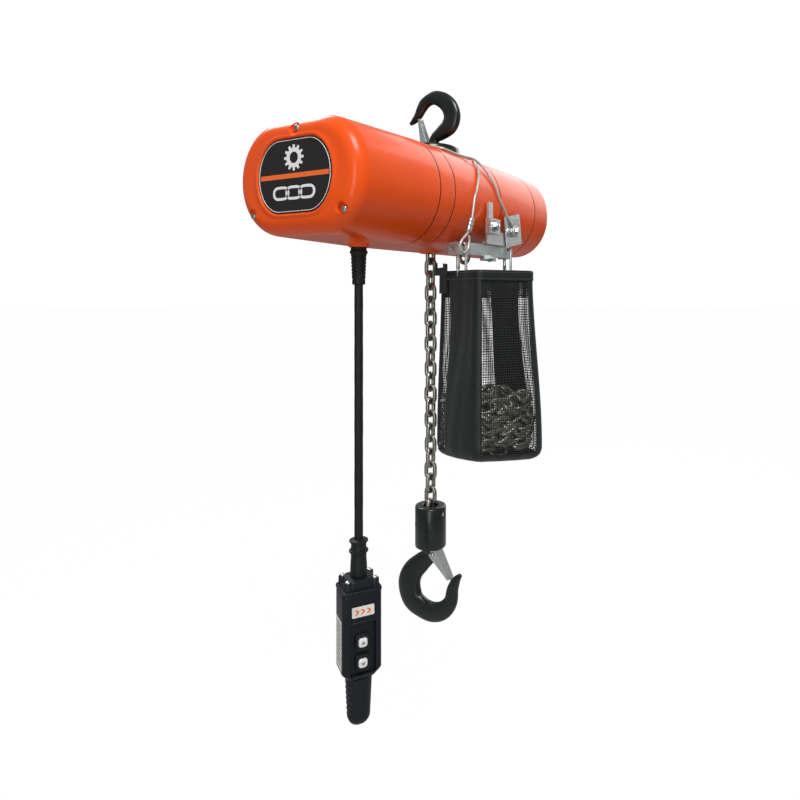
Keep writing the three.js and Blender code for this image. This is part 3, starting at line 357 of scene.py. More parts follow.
def plate(outline, low, high, axis="z"):
    """A flat outline of (a, b) points given thickness along an axis."""
    n = len(outline)
    verts = [facing_along(axis, a, b, c) for c in (low, high) for a, b in outline]
    faces = [tuple(range(n)), tuple(range(2 * n - 1, n - 1, -1))]
    faces += [(i, (i + 1) % n, n + (i + 1) % n, n + i) for i in range(n)]
    return verts, faces


def block(x, y, z):
    return plate([(x[0], y[0]), (x[1], y[0]), (x[1], y[1]), (x[0], y[1])], z[0], z[1])


def rounded(width, depth, corner, steps=6, centre=(0, 0)):
    """A rectangle's outline with round corners."""
    outline = []
    for k, (sx, sy) in enumerate(((1, 1), (-1, 1), (-1, -1), (1, -1))):
        for s in range(steps + 1):
            a = QUARTER * (k + s / steps)
            outline.append((centre[0] + sx * (width / 2 - corner) + corner * math.cos(a),
                            centre[1] + sy * (depth / 2 - corner) + corner * math.sin(a)))
    return outline


def stack(levels, steps=7, axis="z", centre=(0, 0), around=False):
    """Rounded rectangles (station, width, depth, corner) lofted along an axis."""
    rings = [[facing_along(axis, a, b, station)
              for a, b in rounded(width, depth, corner, steps, centre)]
             for station, width, depth, corner in levels]
    return loft(rings, around=around)


# ---------------------------------------------------------------- the oval housing
SHELL_LOW, SHELL_HIGH = box_mm("gear_housing")
AXIS_Z = (SHELL_LOW.z + SHELL_HIGH.z) / 2
RISE = (SHELL_HIGH.z - SHELL_LOW.z) / 2
FLAT = 36.4
HALF_WIDTH = SHELL_HIGH.y
ROUND = HALF_WIDTH - FLAT
WALL = 5.0
SEAM_GAP = 0.5
NEAR, COVER_SEAM = (corner.x for corner in box_mm("control_cover"))
NEAR_FILLET, FAR_FILLET, NEAR_TAPER = 18.0, 14.0, 4.0
PLATE_FLAT, PLATE_Y, PLATE_Z = 22.0, 33.5, 41.7


def oval(flat, reach_y, reach_z, arc=30, straight=8):
    """Two half ellipses joined by flats, about the origin, in (y, z)."""
    points = []
    for side in (1, -1):
        for k in range(arc + 1):
            a = math.pi * k / arc - side * QUARTER
            points.append((side * flat + reach_y * math.cos(a), reach_z * math.sin(a)))
        for k in range(1, straight):
            points.append((side * flat * (1 - 2 * k / straight), side * reach_z))
    return points


def body_ring(x, inset, squeeze=0.0):
    narrow_y, narrow_z = 1 - squeeze / HALF_WIDTH, 1 - squeeze / RISE
    return [(x, y * narrow_y, AXIS_Z + z * narrow_z)
            for y, z in oval(FLAT, ROUND - inset, RISE - inset)]


def stations(start, end, spacing=9.0):
    return list(np.linspace(start, end, max(2, int(abs(end - start) / spacing))))


def seam_edge(x, inwards):
    """(x, inset) pairs that round the rim of a casting at a seam."""
    return [(x + inwards * run, inset)
            for run, inset in ((1.2, 0.0), (0.9, 0.06), (0.7, 0.3), (SEAM_GAP, 0.9))]


def casting(low, high):
    """A length of the oval tube, open inside, with softened rims."""
    outside = list(reversed(seam_edge(low, 1))) + [(x, 0.0) for x in stations(low + 4, high - 4)]
    outside += seam_edge(high, -1)
    inside = [(high - SEAM_GAP, WALL), (low + SEAM_GAP, WALL)]
    return loft([body_ring(x, inset) for x, inset in outside + inside], around=True)


def end_cover(seam, end, fillet, facing, face_rings=(), taper=0.0):
    """A cup closing one end of the body. facing is -1 at the near end and +1 at the far end."""

    def ring(x, inset):
        return body_ring(x, inset, taper * min(1.0, abs(x - seam) / abs(seam - end)))

    rings = [ring(x, inset) for x, inset in reversed(seam_edge(seam, facing))]
    rings += [ring(x, 0.0) for x in stations(seam + facing * 4, end - facing * (fillet + 2))]
    for a in np.linspace(0, QUARTER, 9):
        rings.append(ring(end - facing * fillet * (1 - math.sin(a)), fillet * (1 - math.cos(a))))
    rings.extend(face_rings)
    back = [body_ring(seam + facing * SEAM_GAP, WALL)]
    for a in np.linspace(0, QUARTER, 5):
        back.append(ring(end - facing * (9 + (fillet - 4) * (1 - math.sin(a))),
                         WALL + (fillet - 4) * (1 - math.cos(a))))
    return loft(rings[::-1] + back)


def face_ring(x, grow, share=1.0):
    """A ring on the near face, from the plate's oval (share 1) out to the fillet's edge (share 0)."""
    inner = oval(PLATE_FLAT, PLATE_Y + grow, PLATE_Z + grow)
    outer = [(y, z - AXIS_Z) for _, y, z in body_ring(x, NEAR_FILLET, NEAR_TAPER)]
    return [(x, a[0] * share + b[0] * (1 - share), AXIS_Z + a[1] * share + b[1] * (1 - share))
            for a, b in zip(inner, outer)]


def control_cover():
    """The near cover, with a raised bead round the plate's recess and dimples for three screws."""
    bead = [(0, 6.5, 0.55), (0, 5.2, 1.0), (-0.7, 4.2, 1.0), (-1.1, 2.6, 1.0), (-0.7, 1.2, 1.0),
            (0.6, 0.6, 1.0), (2.3, 0.5, 1.0)]
    rings = [face_ring(NEAR + x, grow, share) for x, grow, share in bead]
    shell = end_cover(COVER_SEAM, NEAR, NEAR_FILLET, -1, rings, NEAR_TAPER)
    cover = on_housing("control_cover_casting", [shell], "orange_enamel", "control_cover")
    dimples = []
    for side in ("top", "left", "right"):
        screw = "cover_screw_" + side
        flare = [(12.0, NEAR - 4), (9.2, NEAR - 0.5), (7.4, NEAR + 0.8), (6.8, NEAR + 2.4),
                 (6.6, box_mm(screw)[1].x)]
        dimples.append(lathe(flare, "x", middle(screw).yz, 32))
    carve(cover, dimples, sharp=50)


control_cover()
for name in ("back_frame", "motor_housing"):
    low, high = box_mm(name)
    on_housing(name + "_casting", [casting(low.x, high.x)], "orange_enamel", name)
low, high = box_mm("motor_cover")
on_housing("motor_cover_casting", [end_cover(low.x, high.x, FAR_FILLET, 1)], "orange_enamel",
           "motor_cover")

for name in ("back_frame", "gear_housing", "motor_housing", "motor_cover"):
    x = box_mm(name)[0].x
    ring = [(x - 0.75, 0.3), (x + 0.75, 0.3), (x + 0.75, WALL - 0.2), (x - 0.75, WALL - 0.2)]
    on_housing("seam_shadow_" + name, [loft([body_ring(*at) for at in ring], around=True)],
               "black_rubber")


def gear_casting():
    """The gear housing with the openings the chain and the hook run through, and the chain's lip."""
    shell = on_housing("gear_housing_casting", [casting(SHELL_LOW.x, SHELL_HIGH.x)],
                       "orange_enamel", "gear_housing")
    low, top = SHELL_LOW.z, SHELL_HIGH.z
    slack = (0, middle("slack_chain").y)
    carve(shell, [lathe([(12.4, low - 8), (12.4, low + 10)], sides=36),
                  lathe([(12.4, low - 8), (12.4, low + 30)], centre=slack, sides=36),
                  lathe([(9.2, top - 9), (9.2, top + 6)], sides=30)], sharp=50)
    lip = [(12.5, low + 4), (12.6, low - 2.2), (13.4, low - 3.4), (15.2, low - 3.6),
           (17.4, low - 2.4), (19.5, low + 0.3), (19.5, low + 1.5)]
    on_housing("chain_opening_lip", [lathe(lip, sides=44, closed=True)], "orange_enamel", sharp=60)


gear_casting()


# ---------------------------------------------------------------- nameplate and cover screws
def nameplate():
    """A black oval plate with a painted highlight round its rim, an orange stripe, a cog above it and three
    chain links below.
    """
    low, high = box_mm("nameplate")
    face = low.x - 0.15
    top = face + 0.3

    def plate_ring(x, inset):
        return [(x, y, AXIS_Z + z)
                for y, z in oval(PLATE_FLAT, PLATE_Y - inset, PLATE_Z - inset)]

    badge = [(high.x, 0.3), (face + 0.9, 0.3), (face + 0.3, 0.5), (face, 1.2), (face + 0.25, 2.0),
             (top, 3.2)]
    on_housing("nameplate_badge", [loft([plate_ring(*at) for at in badge])], "black_enamel",
               "nameplate")
    # Painted highlight: a thin raised white line round the plate's rim, in the white ink finish, for the
    # light its edge catches.
    rim = tube(plate_ring(face - 0.05, 1.9), 0.38, 8, closed=True)
    on_housing("nameplate_rim_painted_highlight", [rim], "white_ink", sharp=34)
    stripe = rounded(103, 5.4, 0.4, 2, (0, AXIS_Z))
    on_housing("nameplate_stripe", [plate(stripe, top - 0.4, top, "x")], "orange_ink", sharp=34)
    teeth = 12
    cog = []
    for k in range(teeth):
        for radius, share in ((11.0, -0.30), (14.6, -0.17), (14.6, 0.17), (11.0, 0.30)):
            a = FULL * (k + share) / teeth
            cog.append((radius * math.cos(a), radius * math.sin(a)))
    hole = circle(6.4, len(cog), 0.1)
    rings = [[(x, y, AXIS_Z + 20 + z) for y, z in outline]
             for x, outline in ((top, cog), (top - 0.45, cog), (top - 0.45, hole), (top, hole))]
    on_housing("nameplate_cog", [loft(rings, around=True)], "white_ink", sharp=30)
    strip = [(-1.5, -0.3), (1.5, -0.3), (1.5, 0.3), (-1.5, 0.3)]
    links = []
    for k in (-1, 0, 1):
        outline = [(top - 0.2, y, z)
                   for y, z in rounded(22, 12.5, 6.2, 5, (k * 19.5, AXIS_Z - 19))]
        links.append(sweep(spline(outline, 48, closed=True), lambda i: strip, closed=True,
                           up=(1, 0, 0)))
    on_housing("nameplate_links", links, "white_ink", sharp=30)


nameplate()


def pan_head(station, centre, radius, height, facing=-1, axis="x", sides=30):
    """A domed screw head."""
    rim = station + facing * height * 0.35
    dome = [(radius * 0.98, station), (radius, rim)]
    dome += [(r, rim + facing * h) for r, h in ball_nose(radius, 0, height * 0.65, 6)]
    return lathe(dome, axis, centre, sides)


for side in ("top", "left", "right"):
    screw = "cover_screw_" + side
    low, high = box_mm(screw)
    y, z = middle(screw).yz
    dome = pan_head(high.x, (y, z), 3.9, high.x - low.x - 0.6)
    head = on_housing("cover_screw_head_" + side, [dome], "steel", screw, sharp=60)
    slot = (low.x - 2, low.x + 1.9)
    carve(head, [block(slot, (y - 0.55, y + 0.55), (z - 2.6, z + 2.6)),
                 block(slot, (y - 2.6, y + 2.6), (z - 0.55, z + 0.55))], sharp=40)


# ---------------------------------------------------------------- hooks, latches, collar, block
# Each hook's centre line and radius, from neck to tip: (out towards the tip, up, radius).
LOAD_LINE = [
    (0, 83.2, 10), (0, 72, 10.8), (-16, 56, 14), (-32, 39, 16.5), (-38.5, 20, 18.5),
    (-32, -2, 18), (-14, -12, 15.5), (4, -14.2, 14.6), (22, -7.5, 13), (35, 8, 10.5),
    (39, 28, 8.5), (45, 42, 6), (50.6, 49, 3.4),
]
TOP_LINE = [
    (-3.8, 78.5, 10.8), (-10.5, 61.4, 10.1), (-25.3, 52.5, 13.9), (-41.8, 41.8, 16.8),
    (-48.1, 27.2, 17.1), (-43, 7.6, 16.5), (-27.8, -7.6, 14.9), (-7.6, -15.2, 12.7),
    (10.1, -10.1, 11.8), (20.3, 1.9, 10.1), (27.8, 13.9, 8), (36.7, 22.2, 5.8),
    (43.7, 26.6, 3.8),
]
LATCH_OUT, LATCH_UP = 9, 75
SEAT_Z = -739.5
TOP_SCALE = 0.79
COLLAR_RADIUS = 44.5


def hook_shells(hook_line, shank_top):
    """The forged hook: a bar whose section is deeper than it is wide round the bowl."""
    line = list(spline([(0, -out, up, r) for out, up, r in hook_line], 96))
    tip, aim = line[-1], line[-1][:3] - line[-3][:3]
    aim = aim / np.linalg.norm(aim)
    for k in range(1, 6):
        a = QUARTER * k / 5
        line.append(np.array([*(tip[:3] + aim * tip[3] * math.sin(a)),
                              max(0.2, tip[3] * math.cos(a))]))
    line = np.array(line)

    def section(i):
        deep = line[i, 3]
        wide = min(deep, 0.3 * deep + 4.6)
        return [(deep * math.copysign(abs(c) ** 0.86, c), wide * math.copysign(abs(s) ** 0.86, s))
                for c, s in circle(1.0, 28)]

    hinge = (-LATCH_OUT, LATCH_UP)
    shank = lathe([(10.5, 79), (10.5, shank_top - 1), (9.5, shank_top)], sides=36)
    shoulder = lathe([(8, 72), (11.2, 76), (11.6, 80), (11.2, 82.6), (9, 83.4)], sides=36)
    boss = lathe([(4.5, -7.6), (5.6, -6.8), (5.6, 6.8), (4.5, 7.6)], "x", hinge, 24)
    half_pin = [(2.4, 10.2), (3.4, 10.3), (3.4, 11.4), (2.6, 12.2), (0.5, 12.4)]
    pin = lathe([(r, -x) for r, x in reversed(half_pin)] + half_pin, "x", hinge, 20)
    return [sweep(line, section, up=(1, 0, 0)), shank, shoulder, boss], [pin]


def latch_shells(latch_end):
    """The folded sheet gate and its coil spring, in the pose where the gate closes the throat."""
    out, down = latch_end[0] - LATCH_OUT, LATCH_UP - latch_end[1]
    turn = Matrix.Translation((0, -LATCH_OUT, LATCH_UP)) @ Matrix.Rotation(-math.atan2(out, down), 4, "X")
    tail = -math.hypot(out, down)
    half = [(4.5, tail - 1), (7.2, tail + 1), (9.8, tail + 7), (9.8, 4), (7.5, 6.5)]
    web = plate([(-x, z) for x, z in reversed(half)] + half, -7.7, -6.1, "y")
    ear_outline = [(-7.6, 4), (-7.6, tail * 0.97), (-2.4, tail * 0.97), (1.2, tail * 0.55),
                   (5.2, tail * 0.18)]
    ear_outline += [(6.4 * math.cos(a), 6.4 * math.sin(a))
                    for a in np.linspace(-0.2, math.pi * 0.8, 10)]
    ears = [plate(ear_outline, *reach, "x") for reach in ((-9.8, -8.3), (8.3, 9.8))]
    turns = 3.5
    coil = [(-5.6 + 11.2 * s, 4.1 * math.cos(FULL * turns * s), 4.1 * math.sin(FULL * turns * s))
            for s in np.linspace(0, 1, 64)]
    moved = []
    for verts, faces in [web, *ears]:
        narrowed = [(x * (1 - 0.42 * min(1.0, max(0.0, z / tail))), y, z) for x, y, z in verts]
        moved.append(([turn @ Vector(v) for v in narrowed], faces))
    return moved, [tube([turn @ Vector(v) for v in coil], 0.55, 8)]


for prefix, hook_body, latch_body, place, hook_line, latch_end, shank_top in (
    ("suspension", "suspension_hook", "suspension_latch",
     Matrix.Rotation(math.pi, 4, "X") @ Matrix.Scale(TOP_SCALE, 4), TOP_LINE, (18.5, 19),
     96 / TOP_SCALE),
    ("load", "load_hook", "load_latch", Matrix.Translation((0, 0, SEAT_Z)), LOAD_LINE, (31, 38),
     -632 - SEAT_Z),
):
    forging, pin = hook_shells(hook_line, shank_top)
    gate, spring = latch_shells(latch_end)
    piece(prefix + "_hook_forging", forging, "forged_black", hook_body, prefix + "_hook",
          sharp=50, place=place)
    piece(prefix + "_latch_pin", pin, "bright_zinc", hook_body, sharp=40, place=place)
    piece(prefix + "_latch_plate", gate, "bright_zinc", latch_body, prefix + "_latch", sharp=30,
          place=place, bevel=0.35)
    piece(prefix + "_latch_spring", spring, "steel", hook_body, place=place)


def collar():
    """The turned cap the top hook's shank passes through."""
    low, high = (corner.z for corner in box_mm("suspension_collar"))
    high += 3
    r = COLLAR_RADIUS
    profile = [(9.2, low), (r - 0.6, low), (r, low + 0.8), (r, high - 4), (r - 1.4, high - 1.6),
               (r - 4, high - 0.4), (r - 8, high), (16, high), (14.5, high - 1.0),
               (12.5, high - 1.0), (11.4, high), (9.2, high)]
    on_housing("suspension_collar_cap", [lathe(profile, sides=72, closed=True)], "black_enamel",
               "suspension_collar", sharp=35)


collar()


def block_sleeve():
    """The hook block's sleeve, with its cross pin's hole, a side hole and a bore at each end."""
    low, high = box_mm("hook_block")
    r, low, high = high.x, low.z, high.z
    profile = [(11.0, low), (r - 2, low), (r - 0.6, low + 0.6), (r, low + 2), (r, high - 2.4),
               (r - 0.8, high - 0.8), (r - 2.6, high), (12.5, high), (11.4, high - 1.2),
               (11.4, high - 27), (11.0, high - 28)]
    sleeve = piece("hook_block_sleeve", [lathe(profile, sides=72, closed=True)], "forged_black",
                   "load_block", "hook_block", sharp=40)
    pin_z = middle("chain_pin").z
    turn = Matrix.Rotation(math.radians(137), 4, "Z")
    verts, faces = lathe([(3.8, 12), (3.8, r + 4)], "x", (0, pin_z - 15), 24)
    side_hole = ([turn @ Vector(v) for v in verts], faces)
    carve(sleeve, [lathe([(3.6, -r - 4), (3.6, r + 4)], "y", (0, pin_z), 24), side_hole],
          sharp=40)


block_sleeve()


# ---------------------------------------------------------------- chain
PITCH, WIRE, LINK_WIDTH = 18.9, 6.35, 21.0


def stadium(reach, radius, arc):
    """Two half circles a reach above and below the origin, as (across, up) points."""
    return [(side * radius * math.cos(math.pi * k / (arc - 1)),
             side * (reach + radius * math.sin(math.pi * k / (arc - 1))))
            for side in (1, -1) for k in range(arc)]


def link_shell(place, sides=10):
    r = (LINK_WIDTH - WIRE) / 2
    path = [(x, 0, z) for x, z in stadium((PITCH + WIRE) / 2 - r, r, 9)]
    verts, faces = tube(path, WIRE / 2 - 0.05, sides, closed=True)
    return [place @ Vector(v) for v in verts], faces


def straight_chain(node, body, first_upright):
    """Links down a straight run, each turned a quarter to the last."""
    low, high = box_mm(node)
    at = middle(node)
    half = PITCH / 2 + WIRE - 0.2
    count = round((high.z - low.z - 2 * half) / PITCH) + 1
    shells = []
    for k in range(count):
        turn = QUARTER if (k % 2 == 0) == first_upright else 0
        place = Matrix.Translation((at.x, at.y, high.z - half - PITCH * k))
        shells.append(link_shell(place @ Matrix.Rotation(turn + math.radians((k % 3 - 1) * 3), 4, "Z")))
    piece(node + "_links", shells, "chain_steel", body, node, sharp=60)


straight_chain("load_chain", "load_block", True)
straight_chain("slack_chain", "slack_chain", False)


# ---------------------------------------------------------------- pendant
CABLE_LOW, CABLE_HIGH = box_mm("pendant_cable")
CABLE_AT = middle("pendant_cable").xy
PENDANT_PLACE = (Matrix.Translation((*CABLE_AT, 0))
                 @ Matrix.Rotation(math.radians(-34), 4, "Z"))
BOX_LOW, BOX_HIGH = (corner.z for corner in box_mm("pendant_body"))
BOX_WIDTH, BOX_DEPTH = 48.0, 38.0
FRONT = -BOX_DEPTH / 2
BUTTONS = {name: middle("button_" + name).z for name in ("up", "down")}


def turned_on_cable(name, profile, finish, body, *nodes, sides, closed=False, sharp=45):
    shell = lathe(profile, "z", CABLE_AT, sides, closed)
    piece(name, [shell], finish, body, *nodes, sharp=sharp)


def on_pendant(name, shells, finish, *nodes, sharp=40, body="pendant"):
    return piece(name, shells, finish, body, *nodes, sharp=sharp, place=PENDANT_PLACE)


def cable_and_boot():
    """The cover's boss, the ringed strain-relief boot, the faintly wavy cable and its gland."""
    low, high = (corner.z for corner in box_mm("cable_boot"))
    skin, foot = SHELL_LOW.z, high - 9.3
    profile = [(10.5, skin + 4), (25, skin + 4), (22, skin + 2.1), (18.5, skin + 0.7),
               (15.4, skin - 0.7), (13.4, skin - 2.3), (12.6, skin - 4.2), (12.4, foot + 0.9),
               (11.9, foot + 0.1), (10.7, foot + 0.1)]
    turned_on_cable("cable_boss", profile, "orange_enamel", "hoist_frame", sides=44, closed=True,
                    sharp=50)
    pivot = high - 9.8
    profile = ball_nose(9.7, pivot, 9.6, 6)[::-1]
    profile += [(9.6, pivot - 0.8), (9.8, pivot - 3.4), (10.9, pivot - 4.7), (10.9, pivot - 6.6),
                (9.9, pivot - 7.5)]
    z = pivot - 8
    while z > low + 8:
        r = 9.8 - 1.9 * (pivot - z) / (pivot - low)
        profile += [(r, z), (r - 0.05, z - 2.4), (r - 0.7, z - 2.9), (r - 0.7, z - 3.7)]
        z -= 4.4
    profile += [(8.0, low + 3), (7.7, low + 0.8), (7.1, low), (5.6, low), (5.6, low + 5)]
    turned_on_cable("cable_boot_moulding", profile, "black_rubber", "cable_boot", "cable_boot",
                    sides=36)
    top = CABLE_HIGH.z - 0.3
    profile = ball_nose(5.2, top - 5.2, 5.2, 5)[::-1]
    for z in np.linspace(top - 8, CABLE_LOW.z, 90):
        profile.append((5.25 + 0.07 * math.sin(z * 0.21) + 0.05 * math.sin(z * 0.083), z))
    turned_on_cable("pendant_cable_jacket", profile, "black_rubber", "pendant", "pendant_cable",
                    sides=24, sharp=60)
    foot, top = (corner.z for corner in box_mm("pendant_gland"))
    profile = [(r, top - down) for r, down in (
        (5.5, 0), (8.4, 0), (9.4, 0.9), (11.2, 1.3), (11.4, 2.2), (11.2, 3.2), (9.6, 3.8), (9.2, 6),
        (9.2, 11), (9.5, 12.6), (11.4, 13.2), (11.7, 14.2), (11.4, 15.4), (9.5, 16), (9.3, 22),
        (9.9, 30))]
    profile += [(10.3, foot + 2), (10.3, foot), (5.5, foot)]
    turned_on_cable("pendant_gland_sleeve", profile, "black_rubber", "pendant", "pendant_gland",
                    sides=40, closed=True)


cable_and_boot()


def pendant_cap():
    """A flange, a stepped crown and an ear with a screw at each corner."""
    low, high = (corner.z for corner in box_mm("pendant_cap"))
    w, d = BOX_WIDTH, BOX_DEPTH
    flange = stack([(low, w - 0.6, d - 0.6, 5), (low + 0.8, w + 0.6, d + 0.6, 5),
                    (low + 3.4, w + 0.6, d + 0.6, 5), (low + 4.2, w - 0.6, d - 0.6, 5),
                    (low + 4.6, w - 7, d - 6, 5), (high - 6.6, w - 8, d - 7, 5),
                    (high - 5.8, w - 9.6, d - 8.6, 5)])
    crown = stack([(high - 8, w - 12, d - 5, 8), (high - 2.4, w - 13, d - 6, 8),
                   (high - 0.7, w - 14.6, d - 7.6, 8), (high, w - 18, d - 11, 7)])
    ears, screws = [], []
    for sx in (-1, 1):
        for sy in (-1, 1):
            centre = (sx * (w / 2 - 7.6), sy * (d / 2 - 7.2))
            ears.append(lathe([(5.2, low + 4), (5.2, high - 2.4), (4.5, high - 1.4)], "z",
                              centre, 24))
            screws.append(pan_head(high - 1.5, centre, 3.3, 2.4, 1, "z", 24))
    on_pendant("pendant_cap_moulding", [flange, crown, *ears], "black_plastic", "pendant_cap")
    on_pendant("pendant_cap_screws", screws, "bright_zinc", sharp=50)


pendant_cap()


def pendant_box():
    """The switch box: rounded edges, chamfered foot, a sunk button panel with two bezels."""
    low, high = BOX_LOW, BOX_HIGH - 0.1
    w, d = BOX_WIDTH, BOX_DEPTH
    shell = stack([(low, w - 15, d - 8, 7), (low + 0.8, w - 13, d - 6.6, 7),
                   (low + 8.2, w - 1, d - 1, 6.6), (low + 9.6, w, d, 6.4),
                   *[(z, w, d, 6.4) for z in stations(low + 14, high - 4)],
                   (high - 0.8, w, d, 6.4), (high, w - 0.8, d - 0.8, 6.2)])
    box = on_pendant("pendant_box_moulding", [shell], "black_plastic", "pendant_body")
    tall, at = high - low - 39, (0, (low + high - 27) / 2)
    cutters = [plate(rounded(31, tall, 3, 5, at), FRONT - 3, FRONT + 4.2, "y")]
    bezels = []
    for z in BUTTONS.values():
        opening = rounded(11.8, 11.8, 3.5, 5, (0, z))
        cutters.append(plate(opening, FRONT - 3, FRONT + 10.5, "y"))
        rim = [(FRONT + back, size, size + 0.8, corner) for back, size, corner in (
            (4.4, 18.6, 4), (0.8, 18.2, 4), (-0.2, 16.8, 4), (-0.3, 12.4, 3.4), (2.0, 11.6, 3.2),
            (4.4, 11.6, 3.2))]
        bezels.append(stack(rim, 5, "y", (0, z), around=True))
    carve(box, cutters, sharp=40, place=PENDANT_PLACE)
    edge = [(x, FRONT + 0.1, z) for x, z in rounded(32.4, tall + 1.4, 3.6, 5, at)]
    on_pendant("pendant_button_bezels", [*bezels, tube(edge, 0.5, 8, closed=True)],
               "black_plastic")


pendant_box()


def push_button(name, pointing):
    """A domed cap with a raised arrow."""
    z = BUTTONS[name]
    cap = [(FRONT + back, size, size, corner) for back, size, corner in (
        (6, 10.8, 3.2), (0.1, 10.8, 3.2), (-0.6, 10.4, 3.2), (-1.2, 9.2, 3), (-1.5, 6.6, 2.6),
        (-1.55, 3, 1.2))]
    node = "button_" + name
    on_pendant("push_button_" + name, [stack(cap, 6, "y", (0, z))], "white_plastic", node,
               sharp=60, body=node)
    arrow = [(x, z + pointing * h) for x, h in ((-2.9, -1.3), (2.9, -1.3), (0, 2.4))]
    on_pendant("button_arrow_" + name, [plate(arrow, FRONT - 1.75, FRONT - 1.3, "y")],
               "label_grey", sharp=30, body=node)


push_button("up", 1)
push_button("down", -1)


def labels():
    """A small badge above the buttons and a plain data label on the side."""
    z = BOX_HIGH - 19.5
    badge = plate(rounded(27, 12.4, 1.4, 3, (0, z)), FRONT - 0.45, FRONT + 0.1, "y")
    on_pendant("pendant_badge", [badge], "label_paper", sharp=30)
    marks = []
    for x in (-7.2, 0, 7.2):
        chevron = [(x - 2.9, z - 2.9), (x - 0.2, z - 2.9), (x + 2.7, z), (x - 0.2, z + 2.9),
                   (x - 2.9, z + 2.9), (x - 0.2, z)]
        marks.append(plate(chevron, FRONT - 0.75, FRONT - 0.3, "y"))
    on_pendant("pendant_badge_chevrons", marks, "label_orange", sharp=30)
    side = -BOX_WIDTH / 2
    low, high = BOX_LOW + 12, BOX_HIGH - 31
    label = rounded(23, high - low, 1.5, 3, (0, (low + high) / 2))
    on_pendant("pendant_side_label", [plate(label, side - 0.4, side + 0.1, "x")], "label_paper",
               sharp=30)
    bars = []
    for k in range(9):
        z = high - 5 - k * 5.6
        reach = 8.5 if k % 3 else 5.5
        bars.append(plate([(-8.5, z), (reach, z), (reach, z - 1.5), (-8.5, z - 1.5)],
                          side - 0.6, side - 0.2, "x"))
    on_pendant("pendant_side_label_bars", bars, "label_grey", sharp=30)


labels()


def grip():
    """The tapering handle: round at its foot, with finger ribs down one edge."""
    low, top = (corner.z for corner in box_mm("pendant_grip"))
    rings = []
    for z in np.linspace(low, top, 84):
        share = (z - low) / (top - low)
        width, depth = 25.5 + 5.5 * share, 25.0 + 4.0 * share
        if share < 0.2:
            bow = 0.12 + 0.88 * math.sqrt(max(0.0, 1 - (1 - share / 0.2) ** 2))
            width, depth = max(1.0, width * bow), max(1.0, depth * bow)
        if share > 0.985:
            width, depth = width - 2, depth - 2
        ribbed = 0.16 < share < 0.9
        rib = 0.375 * (1 + math.cos((top - z) / 6.4 * FULL)) if ribbed else 0
        ring = []
        for x, y in rounded(width, depth, min(width, depth) * 0.42, 7):
            edge = max(0.0, -x / (width / 2)) ** 3
            ring.append((x + (rib * 1.6 - 0.8) * edge, y, z))
        rings.append(ring)
    on_pendant("pendant_grip_moulding", [loft(rings)], "black_plastic", "pendant_grip", sharp=50)


grip()


# ---------------------------------------------------------------- bracket, clamp, tag and bolts
def refined(name, node, finish, bevel, extra=()):
    """A CAD sheet or bar with its cut edges softened, plus any extra shells."""
    form = bmesh.new()
    form.from_mesh(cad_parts[node].data)
    bmesh.ops.scale(form, vec=Vector((1, 1, 1)) / MM, verts=form.verts)
    bmesh.ops.remove_doubles(form, verts=form.verts, dist=0.002)
    bmesh.ops.dissolve_limit(form, angle_limit=math.radians(1), verts=form.verts,
                             edges=form.edges)
    form.verts.index_update()
    shell = ([tuple(v.co) for v in form.verts], [tuple(v.index for v in f.verts) for f in form.faces])
    form.free()
    on_housing(name, [shell, *extra], finish, node, sharp=30, bevel=bevel)


def hex_head(centre, station, height, radius):
    """A chamfered hexagon bolt head or nut standing on a face, towards -Y."""
    profile = [(radius * share, station - height * up)
               for up, share in ((1, 0.93), (0.8, 1.0), (0.2, 1.0), (0, 1.0))]
    return lathe(profile, "y", centre, 6, turn=0.2)


def washer(centre, face, inner, outer):
    ring = [(inner, face), (outer, face), (outer, face - 1.2), (inner, face - 1.2)]
    return lathe(ring, "y", centre, 28, closed=True)


def bracket():
    """The zinc-plated strap, its clamp post and the bolt, nut and washer that hold them."""
    bar = box_mm("bracket_bar")[0]
    nut_at = (12, bar.z + 3.5)
    tab_hardware = [hex_head(nut_at, bar.y, 5.5, 5.6),
                    lathe([(3.0, bar.y - 8), (3.0, bar.y)], "y", nut_at, 16)]
    refined("bracket_strap", "bracket_bar", "zinc", 0.45, tab_hardware)
    refined("bracket_clamp_post", "bracket_post", "zinc", 0.6)
    at = middle("clamp_bolt")
    centre = (at.x, at.z)
    face = box_mm("clamp_bolt")[0].y + 4.7
    dome = lathe([(r, face - 5.2 - h) for r, h in ball_nose(3.6, 0, 1.2, 4)], "y", centre, 20)
    on_housing("clamp_bolt_head",
               [washer(centre, face, 4.5, 8.6), hex_head(centre, face - 1.2, 4.2, 6.6), dome],
               "bright_zinc", "clamp_bolt", sharp=25)


bracket()


def tag():
    """The stamped tag with plain bars where its data would be, and the rope's bolt through it."""
    refined("tag_sheet", "tag_plate", "bright_zinc", 0.4)
    at, face = middle("tag_plate"), box_mm("tag_plate")[0].y
    c, s = math.cos(math.radians(11)), math.sin(math.radians(11))
    bars = []
    for k in range(4):
        x0, x1 = 2.5, 21.0 - 2.5 * (k % 2)
        z0 = 15.5 - k * 3.6
        outline = [(at.x + x * c - z * s, at.z + x * s + z * c)
                   for x, z in ((x0, z0), (x1, z0), (x1, z0 - 1.4), (x0, z0 - 1.4))]
        bars.append(plate(outline, face - 0.35, face + 0.1, "y"))
    on_housing("tag_sheet_bars", bars, "label_grey", sharp=30)
    low, high = box_mm("rope_bolt")
    centre = ((low.x + high.x) / 2, (low.z + high.z) / 2)
    shank = lathe([(3.0, low.y + 1), (3.0, high.y)], "y", centre, 18)
    washers = [washer(centre, station, 3.0, 7.2) for station in (face, low.y + 4.0)]
    on_housing("rope_bolt_and_washers", [shank, *washers, hex_head(centre, low.y + 2.8, 2.9, 5.8)],
               "bright_zinc", "rope_bolt", sharp=25)


tag()


